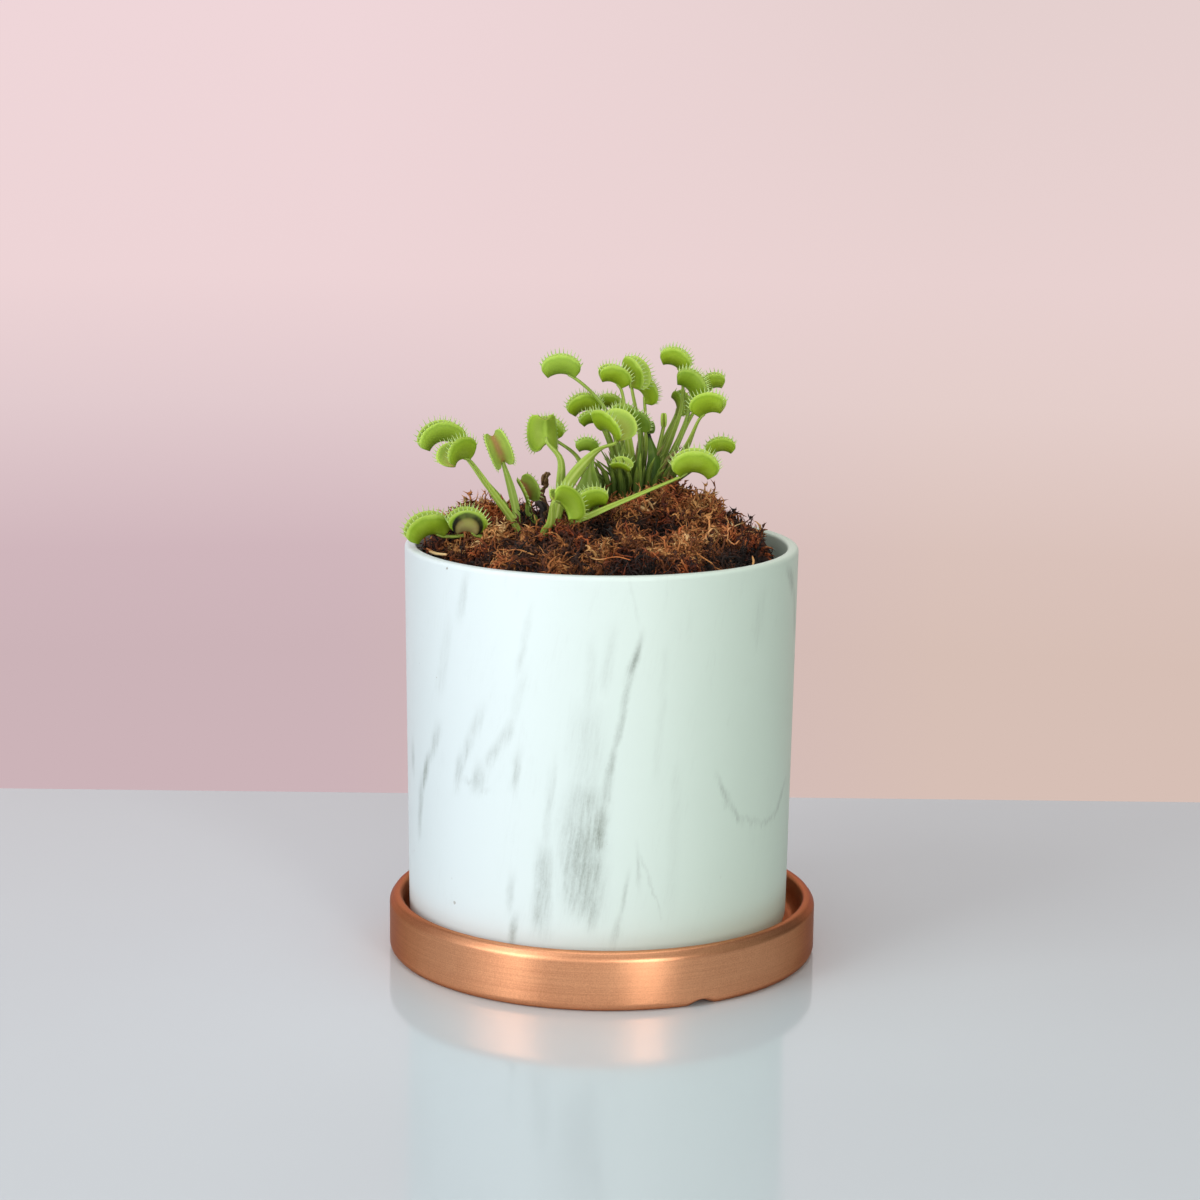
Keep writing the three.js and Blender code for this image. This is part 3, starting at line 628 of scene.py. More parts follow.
mound_points = [(POT_X, 0, MOSS_BOTTOM)]
for radius in FLOOR_RINGS:
    mound_points += [(*on_spoke(k, radius), MOSS_BOTTOM) for k in range(SPOKES)]
height_for_painted_light = [0.0] * len(mound_points)
mound_tint = [0.0] * len(mound_points)
for ring in range(RINGS, -1, -1):
    share = ring / RINGS
    settle, drop = 1 - 0.55 * share ** 10, EDGE_DROP * share ** 14
    for k in range(SPOKES if ring else 1):
        x, y = on_spoke(k, MOSS_RADIUS * share)
        relief, tint = clod_at(x, y)
        height = float(moss_height(x, y)) + relief * settle - SINK - drop
        mound_points.append((x, y, height))
        # how high this point sits on its clod, 0 in a gap and 1 on a crown; the moss colours turn
        # it into painted light and painted shade
        high = (relief - CLOD_FLOOR) / (CLOD_CROWN - CLOD_FLOOR)
        height_for_painted_light.append(min(1.0, max(0.0, high)))
        mound_tint.append(tint)
crest = len(mound_points) - 1
mound_faces = bands(1, len(FLOOR_RINGS) + RINGS, SPOKES)
mound_faces += caps(0, 1, crest, crest - SPOKES, SPOKES)
mound_marks = {"high": height_for_painted_light, "tint": mound_tint}
mound_mesh = as_mesh("moss_mound", mound_points, mound_faces, mound_marks)
as_piece("moss_mound", mound_mesh, "moss", peat_skin)
mound_top = max(point[2] for point in mound_points)
print("mound:", len(mound_faces), "faces, top at", round(mound_top, 1), "mm")

# %% [markdown]
# ### The strands
# Three kinds of litter lie on the clods: sprigs, which are short stems with small shrivelled
# leaves; curls, which are single flakes; and long thin fibres. All are built from one closed,
# three-sided taper, and each has only a few dozen faces, because they are repeated thousands
# of times.

# %% Shape the loose strands
def add_taper(points, faces, dice, here, heading, up, length, width, curl, rings):
    """One closed, curling taper that starts and ends in a point. Returns places along it."""
    first, way = len(points), [here]
    points.append(here)
    for ring in range(rings):
        heading = unit(heading)
        side = unit(np.cross(up, heading))
        here = here + heading * length / (rings + 1)
        way.append(here)
        share = (ring + 0.6) / rings
        wide = width * (0.35 + 0.65 * math.sin(math.pi * share)) * dice.uniform(0.75, 1.25)
        rise = np.cross(heading, side)
        points += [here + side * wide * 0.5, here - side * wide * 0.5, here + rise * width * 0.3]
        heading = heading + side * dice.normal(0, curl) + rise * dice.normal(-0.03, curl * 0.6)
        up = up + side * dice.normal(0, 0.5)
    points.append(here + unit(heading) * length / (rings + 1))
    tip = len(points) - 1
    faces += bands(first + 1, rings, 3) + caps(first, first + 1, tip, tip - 3, 3)
    return way


def litter(name, dice, length, width, curl, rings, leaflets):
    """A taper with some small leaflets along it."""
    points, faces = [], []
    start, ahead = np.array([-length * 0.3, 0, -0.4]), np.array([1.0, 0, 0.15])
    up = np.array([0, 0, 1.0])
    way = add_taper(points, faces, dice, start, ahead, up, length, width, curl, rings)
    for k in range(leaflets):
        place = way[1 + k * (len(way) - 1) // leaflets]
        spread = (1 if k % 2 else -1) * dice.uniform(0.5, 1.1)
        heading = np.array([1.0, spread, dice.uniform(-0.4, 0.6)])
        reach, wide = dice.uniform(1.3, 2.8), dice.uniform(0.5, 1.0)
        add_taper(points, faces, dice, place, heading, up, reach, wide, 0.5, 1)
    return as_mesh(name, points, faces)


# length, width, curl, rings, leaflets
LITTER = {
    "sprigs": [
        (8.5, 0.9, 0.75, 5, 7), (6.5, 1.1, 0.85, 5, 7), (10.0, 0.8, 0.7, 6, 7),
        (5.0, 1.2, 0.8, 4, 6),
    ],
    "curls": [
        (5.5, 0.9, 0.9, 5, 0), (4.4, 1.5, 0.8, 4, 0), (7.5, 0.8, 0.8, 5, 0),
        (3.4, 2.3, 0.7, 4, 0), (5.0, 1.1, 1.0, 5, 0),
    ],
    "fibres": [
        (8.0, 0.4, 0.5, 6, 0), (11.0, 0.4, 0.45, 6, 0), (6.0, 0.5, 0.7, 5, 0),
        (3.2, 1.1, 0.7, 3, 1),
    ],
}
strand_dice = np.random.default_rng(11)
litter_boxes = {}
for kind, shapes in LITTER.items():
    box = litter_boxes[kind] = bpy.data.collections.new(kind)
    for number, values in enumerate(shapes):
        mesh = litter(f"{kind}_{number}", strand_dice, *values)
        box.objects.link(bpy.data.objects.new(mesh.name, mesh))
    print(kind, "have about", len(mesh.polygons), "faces each")

# %% [markdown]
# ### Scattering by Geometry Nodes
# The tree throws points on the mound and puts one strand on each. Strands of one clod lie
# roughly side by side, because a slow noise gives their heading, and their tips stand up a
# little. Each strand gets a tone: painted light on top of a clod, painted shade in a gap. The
# tree ends by making the copies real and giving them their material, because an export keeps
# real meshes only.

# %% A helper that builds node trees
class Workshop:
    """A Geometry Nodes tree with named inputs."""

    def __init__(self, name, inputs):
        self.tree = bpy.data.node_groups.new(name, "GeometryNodeTree")
        sockets = [("Geometry", "INPUT", "Geometry"), ("Geometry", "OUTPUT", "Geometry")]
        sockets += [(label, "INPUT", kind) for label, kind in inputs.items()]
        for label, way, kind in sockets:
            self.tree.interface.new_socket(label, in_out=way, socket_type="NodeSocket" + kind)
        self.start = self.tree.nodes.new("NodeGroupInput")

    def node(self, kind, settings=None, sockets=None):
        return add_node(self.tree, kind, settings, sockets)

    def input(self, label):
        return self.start.outputs[label]

    def maths(self, operation, *values):
        made = self.node("ShaderNodeMath", {"operation": operation}, enumerate(values))
        return made.outputs[0]

    def chance(self, low, high, salt):
        """A number by chance for each point; the salt keeps two chances apart."""
        seed = self.maths("ADD", self.input("Seed"), salt)
        limits = {2: low, 3: high, "Seed": seed}
        return self.node("FunctionNodeRandomValue", {"data_type": "FLOAT"}, limits).outputs[1]

    def mark(self, name, kind="FLOAT"):
        """A number or direction that the mesh carries."""
        made = self.node("GeometryNodeInputNamedAttribute", {"data_type": kind}, {"Name": name})
        return [socket for socket in made.outputs if socket.enabled][0]

    def leave_mark(self, geometry, name, value, domain):
        """Write a number on the points or the copies."""
        settings = {"data_type": "FLOAT", "domain": domain}
        sockets = {"Geometry": geometry, "Name": name, "Value": value}
        return self.node("GeometryNodeStoreNamedAttribute", settings, sockets).outputs[0]

    def finish(self, geometry, material, **chosen):
        """Make all copies real, give them their material and end the tree."""
        real = self.node("GeometryNodeRealizeInstances", {}, {0: geometry})
        coat = self.node("GeometryNodeSetMaterial", {}, {
            0: real.outputs[0], "Material": material, **chosen,
        })
        self.node("NodeGroupOutput", {}, {0: coat.outputs[0]})

    def grow(self, carrier, **values):
        """Run the tree on an object and hand back a plain mesh."""
        modifier = carrier.modifiers.new("grow", "NODES")
        modifier.node_group = self.tree
        for item in self.tree.interface.items_tree:
            if item.in_out == "INPUT" and item.name in values:
                modifier[item.identifier] = values[item.name]
        depsgraph = bpy.context.evaluated_depsgraph_get()
        mesh = bpy.data.meshes.new_from_object(carrier.evaluated_get(depsgraph))
        carrier.modifiers.remove(modifier)
        return mesh


# %% Build the tree that scatters strands
scatter = Workshop("scatter_strands", {
    "Kinds": "Collection", "Density": "Float", "Smallest": "Float", "Largest": "Float",
    "Lift": "Float", "Disorder": "Float", "Paler": "Float", "Seed": "Int",
})
thrown = scatter.node("GeometryNodeDistributePointsOnFaces", {}, {
    "Mesh": scatter.input("Geometry"), "Density": scatter.input("Density"),
    "Seed": scatter.input("Seed"),
})
flow = scatter.node("ShaderNodeTexNoise", {}, {
    "Vector": scatter.node("GeometryNodeInputPosition").outputs[0], "Scale": 55.0, "Detail": 1.0,
})
stray = scatter.maths("MULTIPLY", scatter.chance(-1.0, 1.0, 1.0), scatter.input("Disorder"))
heading = scatter.maths("MULTIPLY_ADD", flow.outputs[0], 16.0, stray)
tilt = scatter.maths("MULTIPLY", scatter.input("Lift"), scatter.chance(-1.0, 0.25, 2.0))
lying = scatter.node("ShaderNodeCombineXYZ", {}, {
    0: scatter.chance(-0.9, 0.9, 3.0), 1: tilt, 2: heading,
})
as_turn = scatter.node("FunctionNodeEulerToRotation", {}, {0: lying.outputs[0]})
turned_by = scatter.node("FunctionNodeRotateRotation", {"rotation_space": "LOCAL"}, {
    0: thrown.outputs["Rotation"], 1: as_turn.outputs[0],
})
kinds = scatter.node("GeometryNodeCollectionInfo", {}, {
    "Collection": scatter.input("Kinds"), "Separate Children": True, "Reset Children": True,
})
pick = scatter.node("FunctionNodeRandomValue", {"data_type": "INT"}, {
    4: 0, 5: 9999, "Seed": scatter.input("Seed"),
})
placed = scatter.node("GeometryNodeInstanceOnPoints", {}, {
    "Points": thrown.outputs["Points"], "Instance": kinds.outputs[0], "Pick Instance": True,
    "Instance Index": pick.outputs[2], "Rotation": turned_by.outputs[0],
    "Scale": scatter.chance(scatter.input("Smallest"), scatter.input("Largest"), 4.0),
})
# painted light and shade: strands high on their clod get a paler tone, strands down in a gap a
# darker one; chance and the clod's own tint add to it
by_chance = scatter.maths("ADD", scatter.input("Paler"), scatter.chance(-0.14, 0.26, 5.0))
lit = scatter.maths("MULTIPLY_ADD", scatter.mark("high"), 0.62, by_chance)
tinted = scatter.maths("MULTIPLY_ADD", scatter.mark("tint"), 0.2, lit)
toned = scatter.leave_mark(placed.outputs[0], "tone", tinted, "INSTANCE")
scatter.finish(toned, moss_strand)
print("scatter tree has", len(scatter.tree.nodes), "nodes")

# %% [markdown]
# The carrier is a copy of the mound's open top. It is not a piece of the model: it only holds
# the modifier, and is deleted when the strands are plain meshes. Long strands keep further away
# from the pot's wall than short ones, and all of them leave a little more room on the right,
# where the real moss has sunk. Five throws make five pieces, so that each stays under 200,000
# triangles.

# %% Scatter the strands
MOUND_FROM = 118
BARE_RIGHT = 3.6


def moss_carrier(reach):
    """The mound's top alone, out to a radius in mm, as ground for the strands."""
    ground = bmesh.new()
    ground.from_mesh(mound_mesh)
    hidden = []
    for face in ground.faces:
        middle = face.calc_center_median() / MM
        radius = math.hypot(middle.x - POT_X, middle.y)
        bare = BARE_RIGHT * max(0.0, middle.x / radius) ** 6
        if middle.z < MOUND_FROM or face.normal.z < 0.1 or radius > reach - bare:
            hidden.append(face)
    bmesh.ops.delete(ground, geom=hidden, context="FACES")
    mesh = bpy.data.meshes.new("ground")
    ground.to_mesh(mesh)
    ground.free()
    return put("ground", mesh)


# kind: reach in mm, seeds of its throws, and the tree's inputs; density is per square metre
THROWS = {
    "sprigs": (51.0, (3, 5), dict(
        Density=130000, Smallest=0.7, Largest=1.25, Lift=0.25, Disorder=1.0, Paler=0.0)),
    "curls": (54.0, (17, 19), dict(
        Density=275000, Smallest=0.6, Largest=1.25, Lift=0.3, Disorder=1.5, Paler=0.0)),
    "fibres": (53.0, (29,), dict(
        Density=400000, Smallest=0.6, Largest=1.15, Lift=0.3, Disorder=2.4, Paler=0.05)),
}
number = 0
for kind, (reach, seeds, inputs) in THROWS.items():
    for seed in seeds:
        ground = moss_carrier(reach)
        strands = scatter.grow(ground, Kinds=litter_boxes[kind], Seed=seed, **inputs)
        bpy.data.objects.remove(ground)
        number += 1
        strands.name = f"moss_strands_{number}"
        drop_marks(strands, "high", "tint")
        as_piece(strands.name, strands, "moss")
        print(strands.name, "has", triangles(strands), "triangles")
for box in litter_boxes.values():
    for shape in list(box.objects):
        bpy.data.objects.remove(shape)
    bpy.data.collections.remove(box)

# %% [markdown]
# ## Leaf tissue
# A flytrap's leaf is a green stalk with thin wings and, at its end, two lobes that snap shut.
# Outside, the lobes are yellow-green with a paler margin; inside they blush pink towards the
# hinge. Each point of a leaf carries a few numbers: which part it is, how far it lies from the
# hinge, and how ruddy, dark or withered its leaf is. One material reads them all.

# %% Mix the leaf colours
tissue = Finish(
    "leaf_tissue", Subsurface_Weight=0.12, Subsurface_Radius=(1.0, 1.0, 0.25),
    Subsurface_Scale=1.2 * MM, Specular_IOR_Level=0.18,
)
is_trap = tissue.mark("trap")
is_inside = tissue.mark("inside")
rise = tissue.mark("rise")
along = tissue.mark("along")
blush = tissue.mark("blush")
shade = tissue.mark("shade")
wither = tissue.mark("wither")
mottle = tissue.cloud(420, 3)
pores = tissue.cloud(2600, 2)
blotch = tissue.cloud(160, 3)
level = rise + mottle * 0.16 + blotch * 0.2 - 0.18
outside_tone = tissue.ramp(
    level, (0.02, srgb(150, 176, 52)), (0.12, srgb(122, 150, 24)), (0.4, srgb(132, 160, 26)),
    (0.72, srgb(142, 170, 32)), (0.84, srgb(132, 162, 28)), (0.9, srgb(160, 190, 60)),
    (1.0, srgb(184, 208, 92)),
)
inside_green = tissue.ramp(
    level, (0.1, srgb(140, 140, 46)), (0.6, srgb(164, 180, 76)), (0.82, srgb(162, 190, 76)),
    (0.97, srgb(184, 208, 92)),
)
tinge = (blush * 0.4 + blotch * 0.3 - 0.12) * level.hump(0.35, 0.4)
outside_tone = tissue.mix(tinge, outside_tone, srgb(134, 124, 44))
ruddy = (1 - (level + mottle * 0.2 - 0.1).rising(0.02, 0.42)) * blush
inside_tone = tissue.mix(ruddy, inside_green, srgb(172, 100, 68))
stalk_tone = tissue.ramp(
    abs(rise) + mottle * 0.3 - 0.15, (0.0, srgb(164, 180, 74)), (0.4, srgb(136, 158, 52)),
    (0.9, srgb(160, 182, 82)),
)
# painted shade: stalks and shoots of the right plant turn almost black towards the moss, where the
# crowded crown shades them
crown_shade = (1 - tissue.z.rising(141, 160)) * tissue.x.rising(-9, 0) * tissue.y.rising(-11, -5)
# painted highlight: a pale band along the midrib on both faces of every stalk
midrib_highlight = (1 - abs(rise).rising(0.0, 0.35)) * 0.5
stalk_tone = tissue.mix(midrib_highlight, stalk_tone, srgb(184, 198, 116))
stalk_tone = tissue.mix(crown_shade * 0.9, stalk_tone, srgb(28, 46, 16))
trap_tone = tissue.mix(is_inside, outside_tone, inside_tone)
ribs = ((along * 52 + mottle * 2.5).wave() * 0.5 + 0.5) * is_trap
trap_tone = tissue.mix(ribs * 0.05, trap_tone, srgb(96, 124, 20))
leaf_tone = tissue.mix(is_trap, stalk_tone, trap_tone)
leaf_tone = tissue.mix((shade * -1).at_least(0.0), leaf_tone, srgb(46, 84, 22))
leaf_tone = tissue.mix(shade.at_least(0.0), leaf_tone, srgb(172, 208, 118))
dead_tone = tissue.ramp(
    wither + mottle * 0.1 - 0.05, (0.3, srgb(90, 120, 40)), (0.42, srgb(24, 24, 14)),
    (0.62, srgb(40, 36, 20)), (0.78, srgb(140, 126, 74)), (1.0, srgb(168, 156, 100)),
)
leaf_tone = tissue.mix((wither + mottle * 0.1 - 0.05).rising(0.22, 0.4), leaf_tone, dead_tone)
leaf_tone = tissue.mix(blotch.rising(0.45, 0.7) * 0.22, leaf_tone, srgb(178, 204, 84))
leaf_relief = tissue.bump(mottle, 0.07, tissue.bump(pores, 0.03, tissue.bump(ribs, 0.012)))
leaf_tissue = tissue.wear(leaf_tone, 0.42 + mottle * 0.16, leaf_relief)

fringe = Finish("bristle", Roughness=0.5, Subsurface_Weight=0.1, Subsurface_Scale=0.4 * MM)
fringe_tone = fringe.mix(fringe.cloud(900, 2), srgb(164, 196, 96), srgb(206, 222, 150))
bristle_skin = fringe.wear(fringe_tone, normal=fringe.bump(fringe.cloud(2500, 2), 0.03))

dead = Finish("dead_tissue", Roughness=0.75)
dead_grain = dead.cloud(500, 4, 0.6)
dead_colour = dead.ramp(
    dead_grain + dead.mark("tan") * 0.5 - 0.25, (0.2, srgb(22, 14, 10)), (0.5, srgb(58, 34, 20)),
    (0.75, srgb(110, 74, 44)), (1.0, srgb(170, 134, 92)),
)
dead_tissue = dead.wear(dead_colour, normal=dead.bump(dead_grain, 0.5))
print("leaf tissue mixed with", len(tissue.tree.nodes), "nodes")

# %% [markdown]
# ## The leaves
# Every leaf has the same plan and differs in a few given values, the same as in the CAD
# source. The foot is where it leaves the moss, the neck is where the stalk meets the trap, and
# yaw, pitch and roll aim the trap. Hinge is the radius of the arc that the midrib follows and
# arc is half its angle. Lobe is how deep a lobe is, gape how far it stands open, and wing how
# broad the stalk gets.

# %% Write down the leaves
# name: foot, points between, neck, yaw, pitch, roll, hinge, arc, lobe, gape, wing
LEAVES = {
    "left_leaf_1": ((-30, -6), [(-37, -7, 147)], (-45.3, -6, 157.3),
        195, -8, 0, 5, 60, 7, 0.15, 2.5),
    "left_leaf_2": ((-26.5, -15), [(-34, -17, 145)], (-41, -19, 155.1),
        226, -15, 20, 4.2, 48, 7.4, 0.45, 2.8),
    "left_leaf_3": ((-27, -9), [(-28.8, -9.5, 145)], (-31.4, -11, 153.7),
        180, 68, -80, 6.4, 38, 5.8, 0.6, 2.6),
    "left_leaf_4": ((-38, -11.5), [(-43, -13, 131.2)], (-48.9, -14, 131.2),
        192, -16, 0, 5.2, 50, 8, 0.35, 2.2),
    "left_leaf_5": ((-32.5, -20), [(-35.5, -21, 132.2)], (-38.8, -21, 132.8),
        188, 4, 0, 4, 46, 8.2, 0.35, 2),
    "left_leaf_6": ((-22, -6.5), [(-23.4, -5.5, 137)], (-23.9, -4, 141.2),
        180, 65, -55, 4.4, 42, 4.8, 0.45, 2.4),
    "middle_leaf_1": ((-14.5, -10.5), [(-14, -10, 146.5), (-14.2, -9.5, 154.5)], (-18.1, -9, 159),
        105, 72, 180, 6, 36, 6.8, 0.8, 3),
    "middle_leaf_2": ((-6, 0.5), [(-8.8, 1, 153)], (-15.7, 2.8, 158.5),
        175, 10, 0, 4.6, 45, 6.2, 0.4, 2.2),
    "middle_leaf_3": ((-18.5, -22), [(-16.6, -25, 137.2)], (-15.6, -28.5, 144.6),
        15, -50, -35, 5, 50, 6.2, 0.35, 2.6),
    "middle_leaf_4": ((-10.8, -16), [(-8.6, -15.8, 136.2)], (-6.8, -16.3, 137.8),
        0, 30, 0, 5, 48, 6.4, 0.25, 1.8),
    "middle_leaf_5": ((-12.5, -21), [(-3, -20.5, 140), (8, -17, 144.3)], (21.8, -12, 149.7),
        0, -4, 0, 5.6, 50, 8, 0.25, 2.8),
    "middle_leaf_6": ((-15, -15), [(-12.3, -15.5, 146.4), (-2.8, -14.5, 157.8)], (3.1, -14, 160.4),
        138, 22, 2, 5.6, 42, 8.4, 0.55, 3.8),
    "middle_leaf_7": ((-6.2, -8.5), [(-5, -8, 146), (-4.6, -6.5, 153)], (-4, -5, 155.7),
        182, 5, 0, 3.6, 40, 4.2, 0.2, 8.6),
    "middle_leaf_8": ((1.5, 4.5), [(4, 6, 152)], (7.1, 8, 164), 175, 5, 0, 4, 42, 4.6, 0.3, 2),
    "right_leaf_1": ((6, 12), [(0, 11.5, 165.5), (-5, 10.5, 172.2)], (-10.2, 9, 176.8),
        180, 0, 0, 6.8, 38, 6.8, 0.15, 2),
    "right_leaf_2": ((4.5, 15.5), [(1, 16, 157)], (-3.5, 16, 165.2),
        188, -8, 0, 4.4, 50, 6, 0.2, 2),
    "right_leaf_3": ((4, 8), [(1.5, 7, 154)], (-2.3, 5, 163), 190, -5, 0, 3.8, 42, 4.2, 0.3, 1.8),
    "right_leaf_4": ((6, 19), [(4.5, 22, 156)], (2.9, 25, 164.8), 175, 8, 0, 4.2, 40, 4.8, 0.3, 2),
    "right_leaf_5": ((8.5, 8.5), [(6.5, 4.5, 158)], (3.9, 1.6, 174.6),
        190, 20, 0, 4.8, 40, 6.2, 0.35, 3),
    "right_leaf_6": ((10.5, 12), [(10.3, 12, 158)], (7.3, 12.5, 173.9),
        155, 60, 8, 5, 40, 7, 0.55, 2.4),
    "right_leaf_7": ((10, 18.5), [(12, 19.5, 157)], (11.5, 20, 167.9),
        180, 45, 0, 4.2, 56, 5.6, 0.25, 2.2),
    "right_leaf_8": ((14, 15), [(19.4, 17.5, 157), (23, 19.5, 168)], (22.6, 20, 177.8),
        175, 22, 0, 4.8, 40, 6.4, 0.25, 2.4),
    "right_leaf_9": ((15.5, 9), [(22.6, 9, 160)], (25.7, 10.5, 171),
        180, 42, 0, 4.6, 42, 6.9, 0.25, 2.6),
    "right_leaf_10": ((17, 18.5), [(24, 23, 160)], (31.2, 27, 171.2),
        0, 15, 0, 3.8, 36, 5.4, 0.3, 2.2),
    "right_leaf_11": ((18.5, 9.5), [(24.8, 6, 157.8)], (28, 2.7, 165.8),
        -10, 15, -10, 5.2, 38, 7.2, 0.45, 3),
    "right_leaf_12": ((12, 22.5), [(17, 25, 154)], (21.6, 27, 164.2),
        150, 70, 0, 3.8, 42, 4.8, 0.4, 2),
    "right_leaf_13": ((19, 14), [(27.5, 13, 149.2)], (31.9, 13, 152.8),
        0, 8, 0, 4.6, 44, 4.8, 0.2, 2),
    "right_leaf_14": ((6.5, 2), [(7.2, -1.5, 146.5)], (6.2, -3.5, 150),
        170, 10, -15, 3.2, 40, 3.8, 0.7, 1.8),
    "right_leaf_15": ((9.5, 4.5), [(9.6, 3.5, 150)], (10.1, 2, 161.3),
        180, 48, 0, 3.4, 42, 4.4, 0.2, 2.2),
    "right_leaf_16": ((13.3, 11.5), [(15.6, 12, 154)], (17.2, 12.5, 161.8),
        90, 84, 0, 4, 28, 1.5, 0.35, 1.6),
    "right_leaf_17": ((13, 5.5), [(14.4, 6, 151)], (12.6, 7.5, 160.5),
        120, 75, 0, 2.4, 35, 2.2, 0.35, 4.6),
}
DEAD_LEAVES = {
    "dead_leaf_curled": ((-18.5, 4), [(-20, 3, 142)], (-18.6, 2, 144.5),
        60, 60, 0, 2.2, 50, 2, 0.1, 2.6),
    "dead_leaf_black": ((-19, -13), [(-19.2, -12.5, 137)], (-19.5, -12, 138.5),
        150, 40, 0, 2, 45, 2.2, 0.1, 2.4),
}

# %% [markdown]
# ### Looks of single leaves
# Leaves of one rosette are never the same green. Some are darker and some paler than the rest,
# and traps that got more sun blush more. The table gives only the leaves that differ from the rest.

# %% Write down how single leaves look
# name: blush of the inside, shade (below 0 darker, above 0 paler)
LOOKS = {
    "left_leaf_1": (0.3, 0.1), "left_leaf_2": (0.45, 0.05), "left_leaf_3": (1.0, 0.2),
    "left_leaf_4": (0.2, -0.12), "left_leaf_5": (0.1, -0.2), "left_leaf_6": (1.0, -0.3),
    "middle_leaf_1": (0.5, 0.1), "middle_leaf_3": (0.2, 0.05), "middle_leaf_4": (0.2, 0.0),
    "middle_leaf_7": (0.2, -0.45), "middle_leaf_8": (0.4, -0.3), "middle_leaf_2": (0.4, -0.15),
    "right_leaf_1": (0.1, 0.15), "right_leaf_3": (0.3, -0.25), "right_leaf_4": (1.0, -0.1),
    "right_leaf_6": (1.0, 0.0), "right_leaf_9": (0.2, -0.3), "right_leaf_12": (0.9, -0.1),
    "right_leaf_14": (0.8, 0.0), "right_leaf_15": (0.2, -0.6), "right_leaf_16": (0.0, -0.1),
    "right_leaf_17": (0.2, -0.75),
}
print("looks written for", len(LOOKS), "of", len(LEAVES), "leaves")

# %% [markdown]
# ### The shape of a trap
# A trap is one strip folded along its midrib. The midrib is an arc, spokes stand on it like
# rays of a fan, and each lobe curls from the midrib to its margin. Two skins, half a thickness
# to each side, make it a real leaf and not a sheet of paper.

# %% Work out points of a trap
USUAL_LOOK = (0.35, 0.0)
LOBE_STEPS = 100
LOBE_THICKNESS = 0.7
LOBE_END_SHARE = 0.64
LOBE_SPREAD = 0.3
LOBE_ROUNDING = 0.35
FLANGE_FROM = 0.86
FLANGE_TURN = 16


class Leaf:
    """One leaf's values and the directions that follow from them."""

    def __init__(self, name, values):
        foot, between, neck, yaw, pitch, roll, hinge, arc, lobe, gape, wing = values
        self.name, self.foot, self.between = name, foot, between
        self.neck, self.hinge, self.lobe = np.array(neck, float), hinge, lobe
        self.gape, self.wing, self.arc = gape, wing, math.radians(arc)
        yaw, pitch, roll = math.radians(yaw), math.radians(pitch), math.radians(roll)
        level_way = np.array([math.cos(yaw), math.sin(yaw), 0.0])
        self.along = level_way * math.cos(pitch) + [0, 0, math.sin(pitch)]
        level = level_way * -math.sin(pitch) + [0, 0, math.cos(pitch)]
        self.mouth = level * math.cos(roll) + np.cross(self.along, level) * math.sin(roll)
        self.across = np.cross(self.along, self.mouth)
        self.middle = (self.neck + self.along * hinge * math.sin(self.arc)
                       - self.mouth * hinge * math.cos(self.arc))
        self.blush, self.shade = LOOKS.get(name, USUAL_LOOK)
        self.shares = np.linspace(0, 1, LOBE_STEPS + 1)
        start, end = math.radians(65 + 15 * gape), math.radians(-35 + 55 * gape)
        ease = np.clip((self.shares - FLANGE_FROM) / 0.08, 0, 1)
        self.angles = start + (end - start) * self.shares + math.radians(FLANGE_TURN) * ease
        self.outs = np.r_[0, np.cumsum(np.cos(self.angles[:-1]) / LOBE_STEPS)]
        self.asides = np.r_[0, np.cumsum(np.sin(self.angles[:-1]) / LOBE_STEPS)]

    def spoke(self, t):
        """Direction from the arc's middle through the midrib, at t from -1 to 1."""
        turn = np.atleast_1d(self.arc * np.asarray(t, float))
        return np.outer(np.sin(turn), self.along) + np.outer(np.cos(turn), self.mouth)

    def point(self, t, v, lift=0.0):
        """A place on the trap: t along the midrib, v across it, lift towards the outside."""
        t = np.atleast_1d(np.asarray(t, float))
        v = np.broadcast_to(np.asarray(v, float), t.shape)
        lift = np.broadcast_to(lift, t.shape)
        out, side, share = self.spoke(t), np.sign(v), np.abs(v)
        angle = np.interp(share, self.shares, self.angles)
        depth = self.lobe * (1 - (1 - LOBE_END_SHARE) * t * t)
        depth = depth * (1 - LOBE_ROUNDING * np.abs(t) ** 10)
        reach = self.hinge + depth * np.interp(share, self.shares, self.outs)
        aside = depth * np.interp(share, self.shares, self.asides)
        place = (self.middle + out * reach[:, None] + self.across * (side * aside)[:, None]
                 + self.along * (LOBE_SPREAD * self.gape * depth * share * t)[:, None])
        inward = np.where(side == 0, -lift, -lift * np.sin(angle))
        sideways = lift * side * np.cos(angle)
        return place + out * inward[:, None] + self.across * sideways[:, None]


first_leaf = Leaf("left_leaf_1", LEAVES["left_leaf_1"])
print("the first trap's hinge is", first_leaf.hinge, "mm")

# %% [markdown]
# ### The shape of a stalk
# The stalk follows one smooth curve from inside the moss to under the trap. It is the same
# centripetal curve as in the CAD source, so it never loops between close points.

